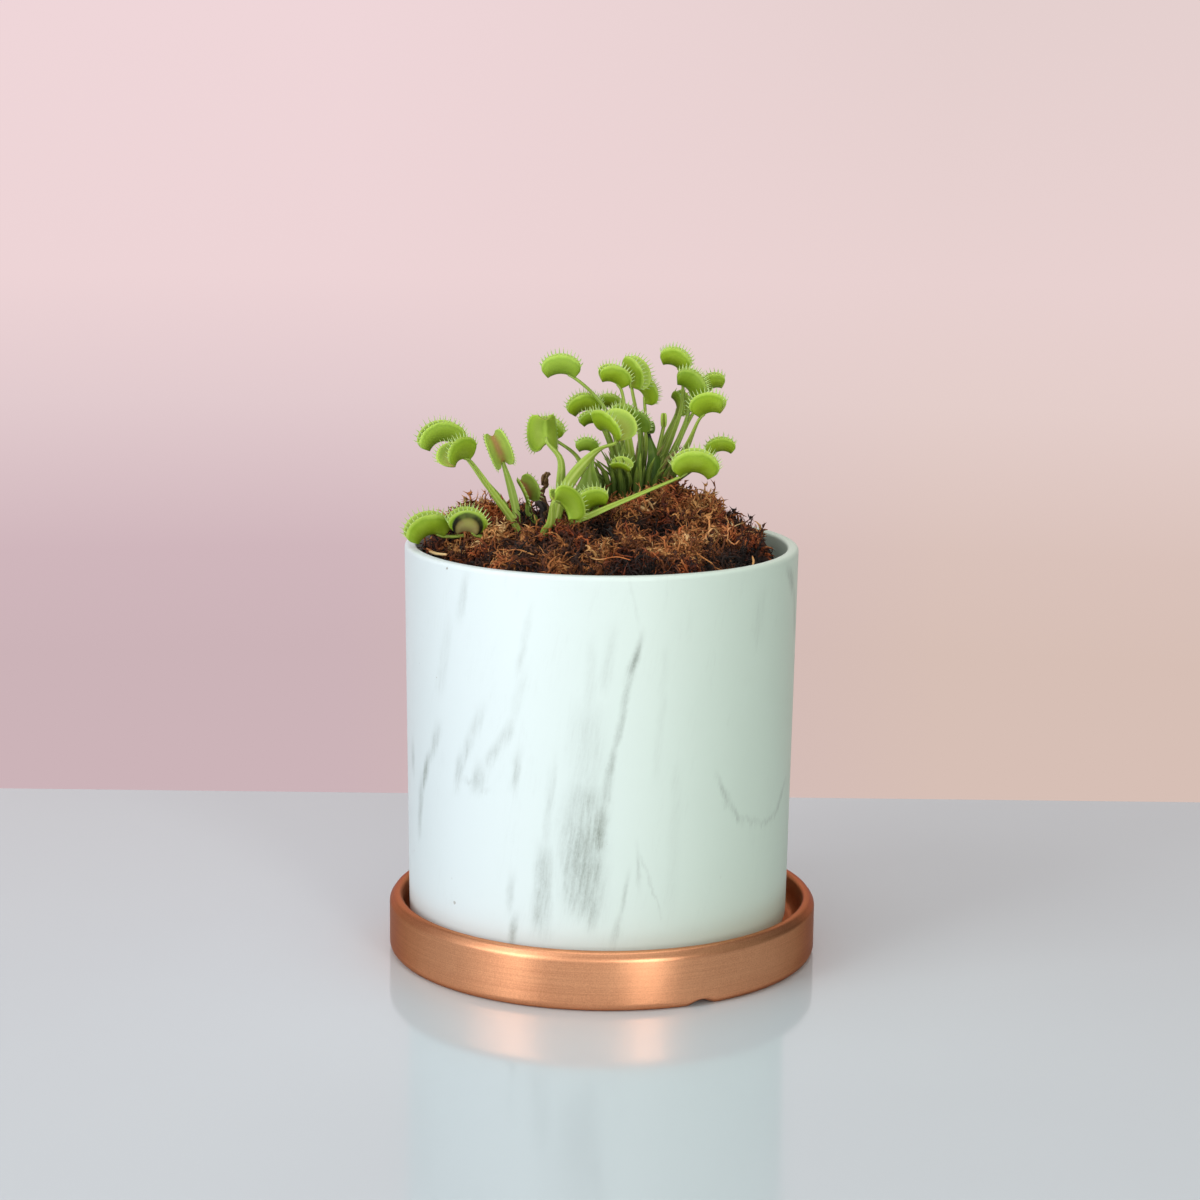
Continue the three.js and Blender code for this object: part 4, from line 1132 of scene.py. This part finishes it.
# %% Work out a stalk's curve and width
def smooth_path(stops, count):
    """Points spread evenly on a centripetal curve through the stops."""
    stops = np.array(stops, float)
    dense = []
    for i in range(len(stops) - 1):
        before = stops[i - 1] if i else stops[0] * 2 - stops[1]
        after = stops[i + 2] if i + 2 < len(stops) else stops[-1] * 2 - stops[-2]
        first, second = stops[i], stops[i + 1]
        gaps = [max(np.linalg.norm(b - a) ** 0.5, 1e-4)
                for a, b in ((before, first), (first, second), (second, after))]
        leave = ((first - before) / gaps[0] - (second - before) / (gaps[0] + gaps[1])
                 + (second - first) / gaps[1]) * gaps[1]
        arrive = ((second - first) / gaps[1] - (after - first) / (gaps[1] + gaps[2])
                  + (after - second) / gaps[2]) * gaps[1]
        for w in np.arange(40) / 40:
            dense.append(first + leave * w + (3 * (second - first) - 2 * leave - arrive) * w * w
                         + (2 * (first - second) + leave + arrive) * w ** 3)
    dense = np.array(dense + [stops[-1]])
    run = np.r_[0, np.cumsum(np.linalg.norm(np.diff(dense, axis=0), axis=1))]
    even = np.linspace(0, run[-1], count + 1)
    return np.stack([np.interp(even, run, dense[:, k]) for k in range(3)], 1)


STALK_FOOT = 1.7
STALK_TAPER = 0.6
STALK_CORE = 1.4


def stalk_width(leaf, t):
    """Width of the winged stalk, widest about its middle."""
    wings = (leaf.wing - STALK_CORE) * math.sin(math.pi * min(1, t * 1.08)) ** 1.4
    return STALK_FOOT - STALK_TAPER * t + wings


print("the first stalk is", round(stalk_width(first_leaf, 0.5), 2), "mm wide half way up")

# %% [markdown]
# ### Meshing a leaf
# The two skins are grids that share no points, and a narrow band closes them round the edge.
# The stalk is a row of lens-shaped rings, thick at the midrib and thin at the wings. Margin
# points are marked with the direction and length of the bristle that will stand there.

# %% Mesh the trap and the stalk
ALONG_STEPS = 30
HALF_ROWS = [0.08, 0.18, 0.3, 0.43, 0.56, 0.68, 0.78, 0.85, 0.89, 0.94, 1.0]
ROWS = [-v for v in reversed(HALF_ROWS)] + [0.0] + HALF_ROWS
ACROSS_STEPS = len(ROWS) - 1
BRISTLE_SPACING = 1.0
STALK_RINGS = 26
STALK_SIDES = 12
STALK_THICKNESS = 1.3
FOOT_DEPTH = 6
WING_FRONT = 0.7
BRISTLE_LENGTH = 1.7
SMALLEST_FRINGED_LOBE = 3
RIM_THINNING = 0.45


def outward(points, faces):
    """Turn a closed shell's faces round if they point inwards."""
    points = np.asarray(points, float)
    volume = 0.0
    for face in faces:
        for a, b in zip(face[1:-1], face[2:]):
            volume += points[face[0]] @ np.cross(points[a], points[b])
    return faces if volume > 0 else [face[::-1] for face in faces]


class Growth:
    """Collects points, faces and marks of one leaf."""

    MARKS = ["trap", "inside", "rise", "along", "wither", "bristle_root", "bristle_reach"]

    def __init__(self):
        self.points, self.faces, self.aims = [], [], []
        self.marks = {mark: [] for mark in self.MARKS}

    def add(self, place, aim=(0, 0, 1), **marks):
        self.points.append(place)
        self.aims.append(aim)
        for mark in self.MARKS:
            self.marks[mark].append(marks.get(mark, 0.0))

    def close(self, path, first, sides, **marks):
        """Join the rings along a path from the point first on, and close both ends."""
        low = len(self.points)
        self.add(path[0], **marks)
        self.add(path[-1], along=1, **marks)
        faces = bands(first, len(path), sides) + caps(low, first, low + 1, low - sides, sides)
        self.faces += outward(self.points, faces)


def wither_at(leaf, t, v):
    """How dead the tissue is: only one trap has a dead patch on its near lobe."""
    if leaf.name != "left_leaf_5" or v > 0:
        return 0.0
    gap = math.hypot((t - 0.05) / 1.3, (-v - 0.05) / 0.86)
    return min(1.0, max(0.0, 0.34 + (1 - gap) * 1.5)) if gap < 1.2 else 0.0


def grow_trap(growth, leaf):
    """Both lobes, as two skins and a closing band."""
    width = ALONG_STEPS + 1
    t_row = np.linspace(-1, 1, width)
    margin_step = 2 * leaf.arc * (leaf.hinge + leaf.lobe) / ALONG_STEPS
    stride = max(1, math.ceil(BRISTLE_SPACING / margin_step))
    first = len(growth.points)
    for inside, lift in ((0, LOBE_THICKNESS / 2), (1, -LOBE_THICKNESS / 2)):
        for v in ROWS:
            places = leaf.point(t_row, v, lift * (1 - RIM_THINNING * abs(v) ** 6))
            fringed = abs(v) == 1 and not inside and leaf.lobe >= SMALLEST_FRINGED_LOBE
            if fringed:
                aims = unit(leaf.point(t_row, v) - leaf.point(t_row, v * 0.9))
                aims = aims + leaf.spoke(t_row * 1.5) * 0.15
            for k, (t, place) in enumerate(zip(t_row, places)):
                marks = {"trap": 1, "inside": inside, "rise": abs(v), "along": t,
                         "wither": wither_at(leaf, t, v)}
                if fringed and 0 < k < ALONG_STEPS and k % stride == 0:
                    reach = BRISTLE_LENGTH * (0.3 + leaf.lobe / 9) * (1 - 0.3 * t * t) * MM
                    marks.update(aim=aims[k], bristle_root=1, bristle_reach=reach)
                growth.add(place, **marks)
    skin = width * (ACROSS_STEPS + 1)
    for row in range(ACROSS_STEPS):
        for k in range(ALONG_STEPS):
            a = first + row * width + k
            growth.faces.append([a, a + 1, a + width + 1, a + width])
            b = a + skin
            growth.faces.append([b, b + width, b + width + 1, b + 1])
    edge = list(range(width))
    edge += [row * width + ALONG_STEPS for row in range(1, ACROSS_STEPS + 1)]
    edge += [ACROSS_STEPS * width + k for k in range(ALONG_STEPS - 1, -1, -1)]
    edge += [row * width for row in range(ACROSS_STEPS - 1, 0, -1)]
    for here, there in zip(edge, edge[1:] + edge[:1]):
        a, b = first + here, first + there
        growth.faces.append([b, a, a + skin, b + skin])


def grow_stalk(growth, leaf):
    """The winged stalk, closed at both ends."""
    x, y = leaf.foot
    ground = float(moss_height(x, y))
    stops = [(x, y, ground - FOOT_DEPTH), (x, y, ground), *leaf.between,
             leaf.point(-1, 0, 0.1)[0], leaf.point(-0.5, 0, 0.1)[0]]
    path = smooth_path(stops, STALK_RINGS)
    heading = unit(np.gradient(path, axis=0))
    foot_side = unit(np.array([leaf.neck[1] - y, x - leaf.neck[0], 0.0]))
    if foot_side[0] < 0:
        foot_side = -foot_side
    foot_side = unit(foot_side * (1 - WING_FRONT) + [WING_FRONT, 0, 0])
    if foot_side @ leaf.across < 0:
        foot_side = -foot_side
    first = len(growth.points)
    for ring, (place, ahead) in enumerate(zip(path, heading)):
        t = ring / STALK_RINGS
        side = foot_side * (1 - t * t) + leaf.across * t * t
        side = unit(side - ahead * (side @ ahead))
        face = np.cross(side, ahead)
        half = stalk_width(leaf, t) / 2
        thick = STALK_THICKNESS * (1 - 0.25 * t) / 2
        withered = 0.5 * max(0, (t - 0.6) / 0.4) if leaf.name == "right_leaf_17" else 0
        fold = max(0.0, half - 1.0) * 0.3
        for k in range(STALK_SIDES):
            turn = 2 * math.pi * k / STALK_SIDES
            bulge = thick * math.sin(turn) * (0.45 + 0.55 * abs(math.sin(turn)))
            where = side * half * math.cos(turn) + face * (bulge - fold * math.cos(turn) ** 2)
            growth.add(place + where, rise=math.cos(turn), along=t, wither=withered)
    growth.close(path, first, STALK_SIDES)


def leaf_mesh(leaf):
    """The whole leaf without its bristles."""
    growth = Growth()
    grow_trap(growth, leaf)
    growth.faces = outward(growth.points, growth.faces)
    grow_stalk(growth, leaf)
    size = len(growth.points)
    looks = {"blush": [leaf.blush] * size, "shade": [leaf.shade] * size}
    marks = dict(growth.marks, bristle_aim=growth.aims, **looks)
    return as_mesh(leaf.name + "_grown", growth.points, growth.faces, marks)


print("a trap has", ALONG_STEPS * ACROSS_STEPS, "faces on each skin")

# %% [markdown]
# ### Bristles by Geometry Nodes
# The same small tree serves all leaves. It stands a slim cone on each marked margin point,
# turned the way the mark says and as long as the mark says, with a little chance in it. The
# cones then become real and get the bristle's material, while the leaf keeps its own.

# %% Build the tree that grows bristles
fringe_tree = Workshop("grow_bristles", {"Thickness": "Float", "Uneven": "Float", "Seed": "Int"})
cone = fringe_tree.node("GeometryNodeMeshCone", {"fill_type": "TRIANGLE_FAN"}, {
    "Vertices": 5, "Side Segments": 2, "Radius Top": 0.02 * MM,
    "Radius Bottom": fringe_tree.input("Thickness"), "Depth": 1.0,
})
marked = fringe_tree.leave_mark(cone.outputs["Mesh"], "is_bristle", 1.0, "POINT")
pointing = fringe_tree.node("FunctionNodeAlignRotationToVector", {"axis": "Z"}, {
    "Vector": fringe_tree.mark("bristle_aim", "FLOAT_VECTOR"),
})
least = fringe_tree.maths("SUBTRACT", 1.0, fringe_tree.input("Uneven"))
most = fringe_tree.maths("ADD", 1.0, fringe_tree.input("Uneven"))
uneven = fringe_tree.chance(least, most, 1.0)
long = fringe_tree.maths("MULTIPLY", fringe_tree.mark("bristle_reach"), uneven)
size = fringe_tree.node("ShaderNodeCombineXYZ", {}, {0: 1.0, 1: 1.0, 2: long})
stood = fringe_tree.node("GeometryNodeInstanceOnPoints", {}, {
    "Points": fringe_tree.input("Geometry"), "Selection": fringe_tree.mark("bristle_root"),
    "Instance": marked, "Rotation": pointing.outputs[0], "Scale": size.outputs[0],
})
both = fringe_tree.node("GeometryNodeJoinGeometry")
for joined in (stood.outputs[0], fringe_tree.input("Geometry")):
    fringe_tree.tree.links.new(joined, both.inputs[0])
fringe_tree.finish(both.outputs[0], bristle_skin, Selection=fringe_tree.mark("is_bristle"))
print("bristle tree has", len(fringe_tree.tree.nodes), "nodes")

# %% [markdown]
# ### Growing every leaf
# Each leaf becomes one piece that stands for its CAD node. The marks that only the bristles
# needed are taken off again.

# %% Grow the leaves
total = 0
for number, (name, values) in enumerate(LEAVES.items()):
    leaf = Leaf(name, values)
    bare = leaf_mesh(leaf)
    bare.materials.append(leaf_tissue)
    seedling = put("seedling", bare)
    grown = fringe_tree.grow(seedling, Thickness=0.2 * MM, Uneven=0.15, Seed=number)
    bpy.data.objects.remove(seedling)
    drop_marks(grown, "bristle_root", "bristle_reach", "bristle_aim", "is_bristle")
    as_piece(name + "_grown", grown, name)
    total += triangles(grown)
print(len(LEAVES), "leaves with", total, "triangles")

# %% [markdown]
# ### Young shoots in the crown
# Where the right plant's leaves leave the moss, many small blades crowd together, with painted
# shade darkening their feet. Each is a pointed ribbon with a lens-shaped section. They hide the
# bare feet of the stalks, as in the photograph. They use the leaf material, so they carry the
# same marks.

# %% Grow the young shoots
def add_ribbon(growth, path, side, halves, thick, **marks):
    """A closed ribbon along a path, as wide as its halves say at each step."""
    first, sides = len(growth.points), 6
    heading = unit(np.gradient(path, axis=0))
    for step, (place, ahead, half) in enumerate(zip(path, heading, halves)):
        across = unit(side - ahead * (side @ ahead))
        face = np.cross(across, ahead) * min(thick, half)
        for k in range(sides):
            turn = 2 * math.pi * k / sides
            where = across * half * math.cos(turn) + face * math.sin(turn)
            growth.add(place + where, rise=math.cos(turn), along=step / (len(path) - 1), **marks)
    growth.close(path, first, sides, **marks)


SHOOTS = 60
SHOOT_STEPS = 7
SHOOT_DEPTH = 4
WITHERED_SHARE = 0.16
CROWN_X, CROWN_Y = 8.5, 8
shoot_dice = np.random.default_rng(23)
shoots = Growth()
for number in range(SHOOTS):
    bearing = shoot_dice.uniform(0, 2 * math.pi)
    spread = shoot_dice.uniform(1.5, 10.5)
    x, y = CROWN_X + spread * 1.15 * math.cos(bearing), CROWN_Y + spread * math.sin(bearing)
    length = shoot_dice.uniform(7, 15)
    lean_out = shoot_dice.uniform(0.15, 0.75)
    away = np.array([math.cos(bearing), math.sin(bearing), 0.0])
    start = np.array([x, y, float(moss_height(x, y)) - SHOOT_DEPTH])
    bend = start + [0, 0, length * 0.6 + SHOOT_DEPTH] + away * length * lean_out * 0.3
    tip = start + [0, 0, length + SHOOT_DEPTH] + away * length * lean_out
    path = smooth_path([start, bend, tip], SHOOT_STEPS)
    share = np.linspace(0, 1, SHOOT_STEPS + 1)
    halves = shoot_dice.uniform(0.45, 1.05) * np.sin(np.pi * (0.22 + 0.77 * share)) ** 0.8
    turned_side = np.array([1.0, shoot_dice.uniform(-0.6, 0.6), 0.0])
    withered = 0.75 if shoot_dice.uniform() < WITHERED_SHARE else 0.0
    add_ribbon(shoots, path, turned_side, halves, 0.3, wither=withered)
size = len(shoots.points)
shoot_marks = dict(shoots.marks, shade=[-0.25] * size, blush=[0.0] * size)
shoot_mesh = as_mesh("crown_shoots", shoots.points, shoots.faces, shoot_marks)
as_piece("crown_shoots", shoot_mesh, "right_leaf_17", leaf_tissue)
print(SHOOTS, "shoots with", len(shoot_mesh.polygons), "faces")

# %% [markdown]
# ### Loose ends
# A few single things catch the eye on the moss: pale root threads on its right slope, a dry
# flake that stands up, a dark twig and a cream scrap of bark by the left rim. Each is one
# ribbon, and its tone says how pale it is. A row gives the thickness, the tone and the places
# it runs through.

# %% Lay the loose ends
LOOSE_ENDS = [
    (0.28, 0.9, (28.3, -28), (31.4, -24), (33.8, -20.5), (36.0, -20.5)),
    (0.34, 1.0, (36.0, -21), (36.5, -16), (38.0, -10), (37.7, -2)),
    (0.26, 0.95, (37.6, -13), (39.5, -5), (42.2, 5)),
    (0.3, 0.95, (36.2, -21), (37.8, -24), (39.2, -20), (40.5, -16.5)),
    (0.35, 0.85, (43.2, -27), (43.4, -30), (43.0, -33)),
    (0.45, 0.8, (2.6, 5), (6.6, 6), (8.0, 2.5), (8.2, -4)),
    (0.6, 0.7, (39.0, 12), (39.6, 13), (39.8, 15)),
    (0.5, 0.9, (-54.0, -12), (-51.5, -17), (-48.6, -21.5)),
    (0.7, 1.1, (-53.0, -14.5), (-50.5, -19), (-47.5, -22.5)),
    (0.4, 0.6, (-46, 9), (-48.5, 8), (-50.2, 8)),
    (0.3, 0.7, (24, -34), (27, -38), (31, -40)),
    (0.28, 0.8, (-6, -44), (-2, -46), (3, -45), (7, -46.5)),
    (0.3, 0.75, (-30, -36), (-26, -39), (-21, -40)),
]
END_STEPS = 12
END_LIFT = 1.3


def on_moss(x, y):
    """A place that lies on the moss, and not down in a gap."""
    return x, y, float(moss_height(x, y)) + max(clod_at(x, y)[0], -1) + END_LIFT


ends = Growth()
end_tones = []
for thick, pale_share, *places in LOOSE_ENDS:
    path = smooth_path([on_moss(x, y) for x, y in places], END_STEPS)
    halves = thick * (0.45 + 0.55 * np.sin(np.linspace(0.15, 3.0, END_STEPS + 1)))
    add_ribbon(ends, path, np.array([0.9, 0.3, 0.1]), halves, thick * 0.6)
    end_tones += [pale_share] * (len(ends.points) - len(end_tones))
end_mesh = as_mesh("loose_ends", ends.points, ends.faces, {"tone": end_tones})
as_piece("loose_ends", end_mesh, "moss", moss_strand)
print(len(LOOSE_ENDS), "loose ends laid")

# %% [markdown]
# ### Two dead leaves
# Between the left and the middle plant stand a dry curled leaf and a black shrivelled one. They
# have no bristles left, and their tissue has crinkled, which a little noise on the same shape
# copies.

# %% Shrivel the dead leaves
CRINKLE_PACE = 0.8
CRINKLE_SALTS = (0.0, 31.5, 57.5)
# crinkle in mm, and how tan the leaf is
DRYING = {"dead_leaf_curled": (0.6, 1.15), "dead_leaf_black": (0.35, 0.0)}
for name, (crinkle, tan_share) in DRYING.items():
    husk = leaf_mesh(Leaf(name, DEAD_LEAVES[name]))
    for vertex in husk.vertices:
        place = vertex.co / MM * CRINKLE_PACE
        shake = [noise.noise(place + Vector((0, 0, salt))) for salt in CRINKLE_SALTS]
        vertex.co += Vector(shake) * crinkle * MM
    husk.name = name + "_dry"
    tan = husk.attributes.new("tan", "FLOAT", "POINT")
    tan.data.foreach_set("value", [tan_share] * len(husk.vertices))
    as_piece(name + "_dry", husk, name, dead_tissue)
print(len(DEAD_LEAVES), "dead leaves shrivelled")

# %% [markdown]
# ## The studio
# The object stands on a glossy pale table in front of a pale pink wall. The wall is only the
# world's colour, a little lighter towards the top, so that nothing hides the object from
# behind. The table ends where the photograph's table meets the wall.

# %% Lay the table
table_finish = Finish("pale_table", Specular_IOR_Level=0.6)
smear = table_finish.cloud(6, 2)
table_skin = table_finish.wear(
    table_finish.mix(smear, srgb(196, 206, 211), srgb(203, 213, 217)),
    0.07 + smear * 0.06,
)
TABLE_BACK = 184
WIDE = 3000
table_points = [(-WIDE, -WIDE, 0), (WIDE, -WIDE, 0), (WIDE, TABLE_BACK, 0), (-WIDE, TABLE_BACK, 0)]
table_mesh = as_mesh("table", table_points, [[0, 1, 2, 3]])
table_mesh.materials.append(table_skin)
put("table", table_mesh)
print("table ends", TABLE_BACK, "mm behind the pot's middle")

# %% Light the wall
world = bpy.data.worlds.new("pink_wall")
bpy.context.scene.world = world
world.use_nodes = True
air = world.node_tree
sky = air.nodes["Background"]
direction = add_node(air, "ShaderNodeTexCoord").outputs["Generated"]
look = add_node(air, "ShaderNodeSeparateXYZ", {}, {0: direction})


def between(axis, low, high):
    """0 to 1 between two directions along one axis."""
    sockets = {0: look.outputs[axis], "From Min": low, "From Max": high}
    return add_node(air, "ShaderNodeMapRange", {}, sockets).outputs[0]


def air_colours(share, *stops):
    return add_node(air, "ShaderNodeValToRGB", {"stops": stops}, {0: share}).outputs[0]


def air_mix(share, first, second):
    sockets = {0: share, 6: first, 7: second}
    return add_node(air, "ShaderNodeMix", {"data_type": "RGBA"}, sockets).outputs[2]


UP, SIDEWAYS, BACKWARDS = 2, 0, 1
upwards, across_room = between(UP, -0.25, 0.02), between(SIDEWAYS, -1.0, 1.0)
wall_left = air_colours(
    upwards, (0.18, srgb(204, 179, 184)), (0.31, srgb(208, 182, 188)), (0.5, srgb(226, 203, 206)),
    (0.66, srgb(237, 212, 214)), (1.0, srgb(239, 214, 217)),
)
wall_right = air_colours(
    upwards, (0.18, srgb(215, 191, 181)), (0.31, srgb(218, 194, 186)), (0.5, srgb(228, 206, 202)),
    (0.66, srgb(232, 209, 208)), (1.0, srgb(229, 208, 207)),
)
room_front = air_colours(
    across_room, (0.0, srgb(192, 203, 210)), (0.5, srgb(172, 177, 177)), (1.0, srgb(124, 129, 121)),
)
room_back = air_colours(across_room, (0.0, srgb(140, 120, 110)), (1.0, srgb(48, 38, 36)))
wall = air_mix(between(SIDEWAYS, -0.09, 0.12), wall_left, wall_right)
room = air_mix(between(BACKWARDS, 0.0, 0.4), room_front, room_back)
air.links.new(air_mix(between(BACKWARDS, 0.65, 0.9), room, wall), sky.inputs[0])
sky.inputs[1].default_value = 1.0
print("wall colour runs from mauve to pale pink")

# %% [markdown]
# ### Soft lights
# A big soft light stands at the left front, as in the photograph, where the pot's left side is
# the brighter one. A narrow strip on either side of the camera puts a bright band on the saucer,
# two weak lights in front fill the shadows, and one above lifts the moss and the leaves.

# %% Hang the soft lights
# place in metres, width, height, watts, tint
LIGHTS = {
    "left_window": ((-1.15, -0.8, 0.8), 0.8, 1.3, 8.4, (0.97, 0.98, 1.0)),
    "left_strip": ((-0.86, -0.92, 0.4), 0.3, 0.8, 3.0, (1.0, 0.99, 0.98)),
    "right_strip": ((0.5, -1.14, 0.4), 0.24, 0.8, 5.0, (1.0, 0.99, 0.97)),
    "front": ((0.0, -1.5, 1.1), 1.2, 0.8, 1.0, (1.0, 1.0, 0.98)),
    "low_front": ((-0.1, -1.5, 0.4), 1.3, 0.5, 1.8, (1.0, 0.99, 0.97)),
    "top": ((0.0, 0.0, 1.5), 1.2, 1.2, 6.8, (1.0, 1.0, 1.0)),
}
AIM = Vector((0, 0, 0.1))
for name, (place, width, height, power, tint) in LIGHTS.items():
    light = bpy.data.lights.new(name, "AREA")
    light.shape = "RECTANGLE"
    light.size, light.size_y = width, height
    light.energy, light.color = power, tint
    lamp = put(name, light)
    lamp.location = place
    lamp.rotation_euler = (AIM - Vector(place)).to_track_quat("-Z", "Y").to_euler()
bpy.context.scene.view_settings.view_transform = "Standard"
print(len(LIGHTS), "soft lights hung")

# %% [markdown]
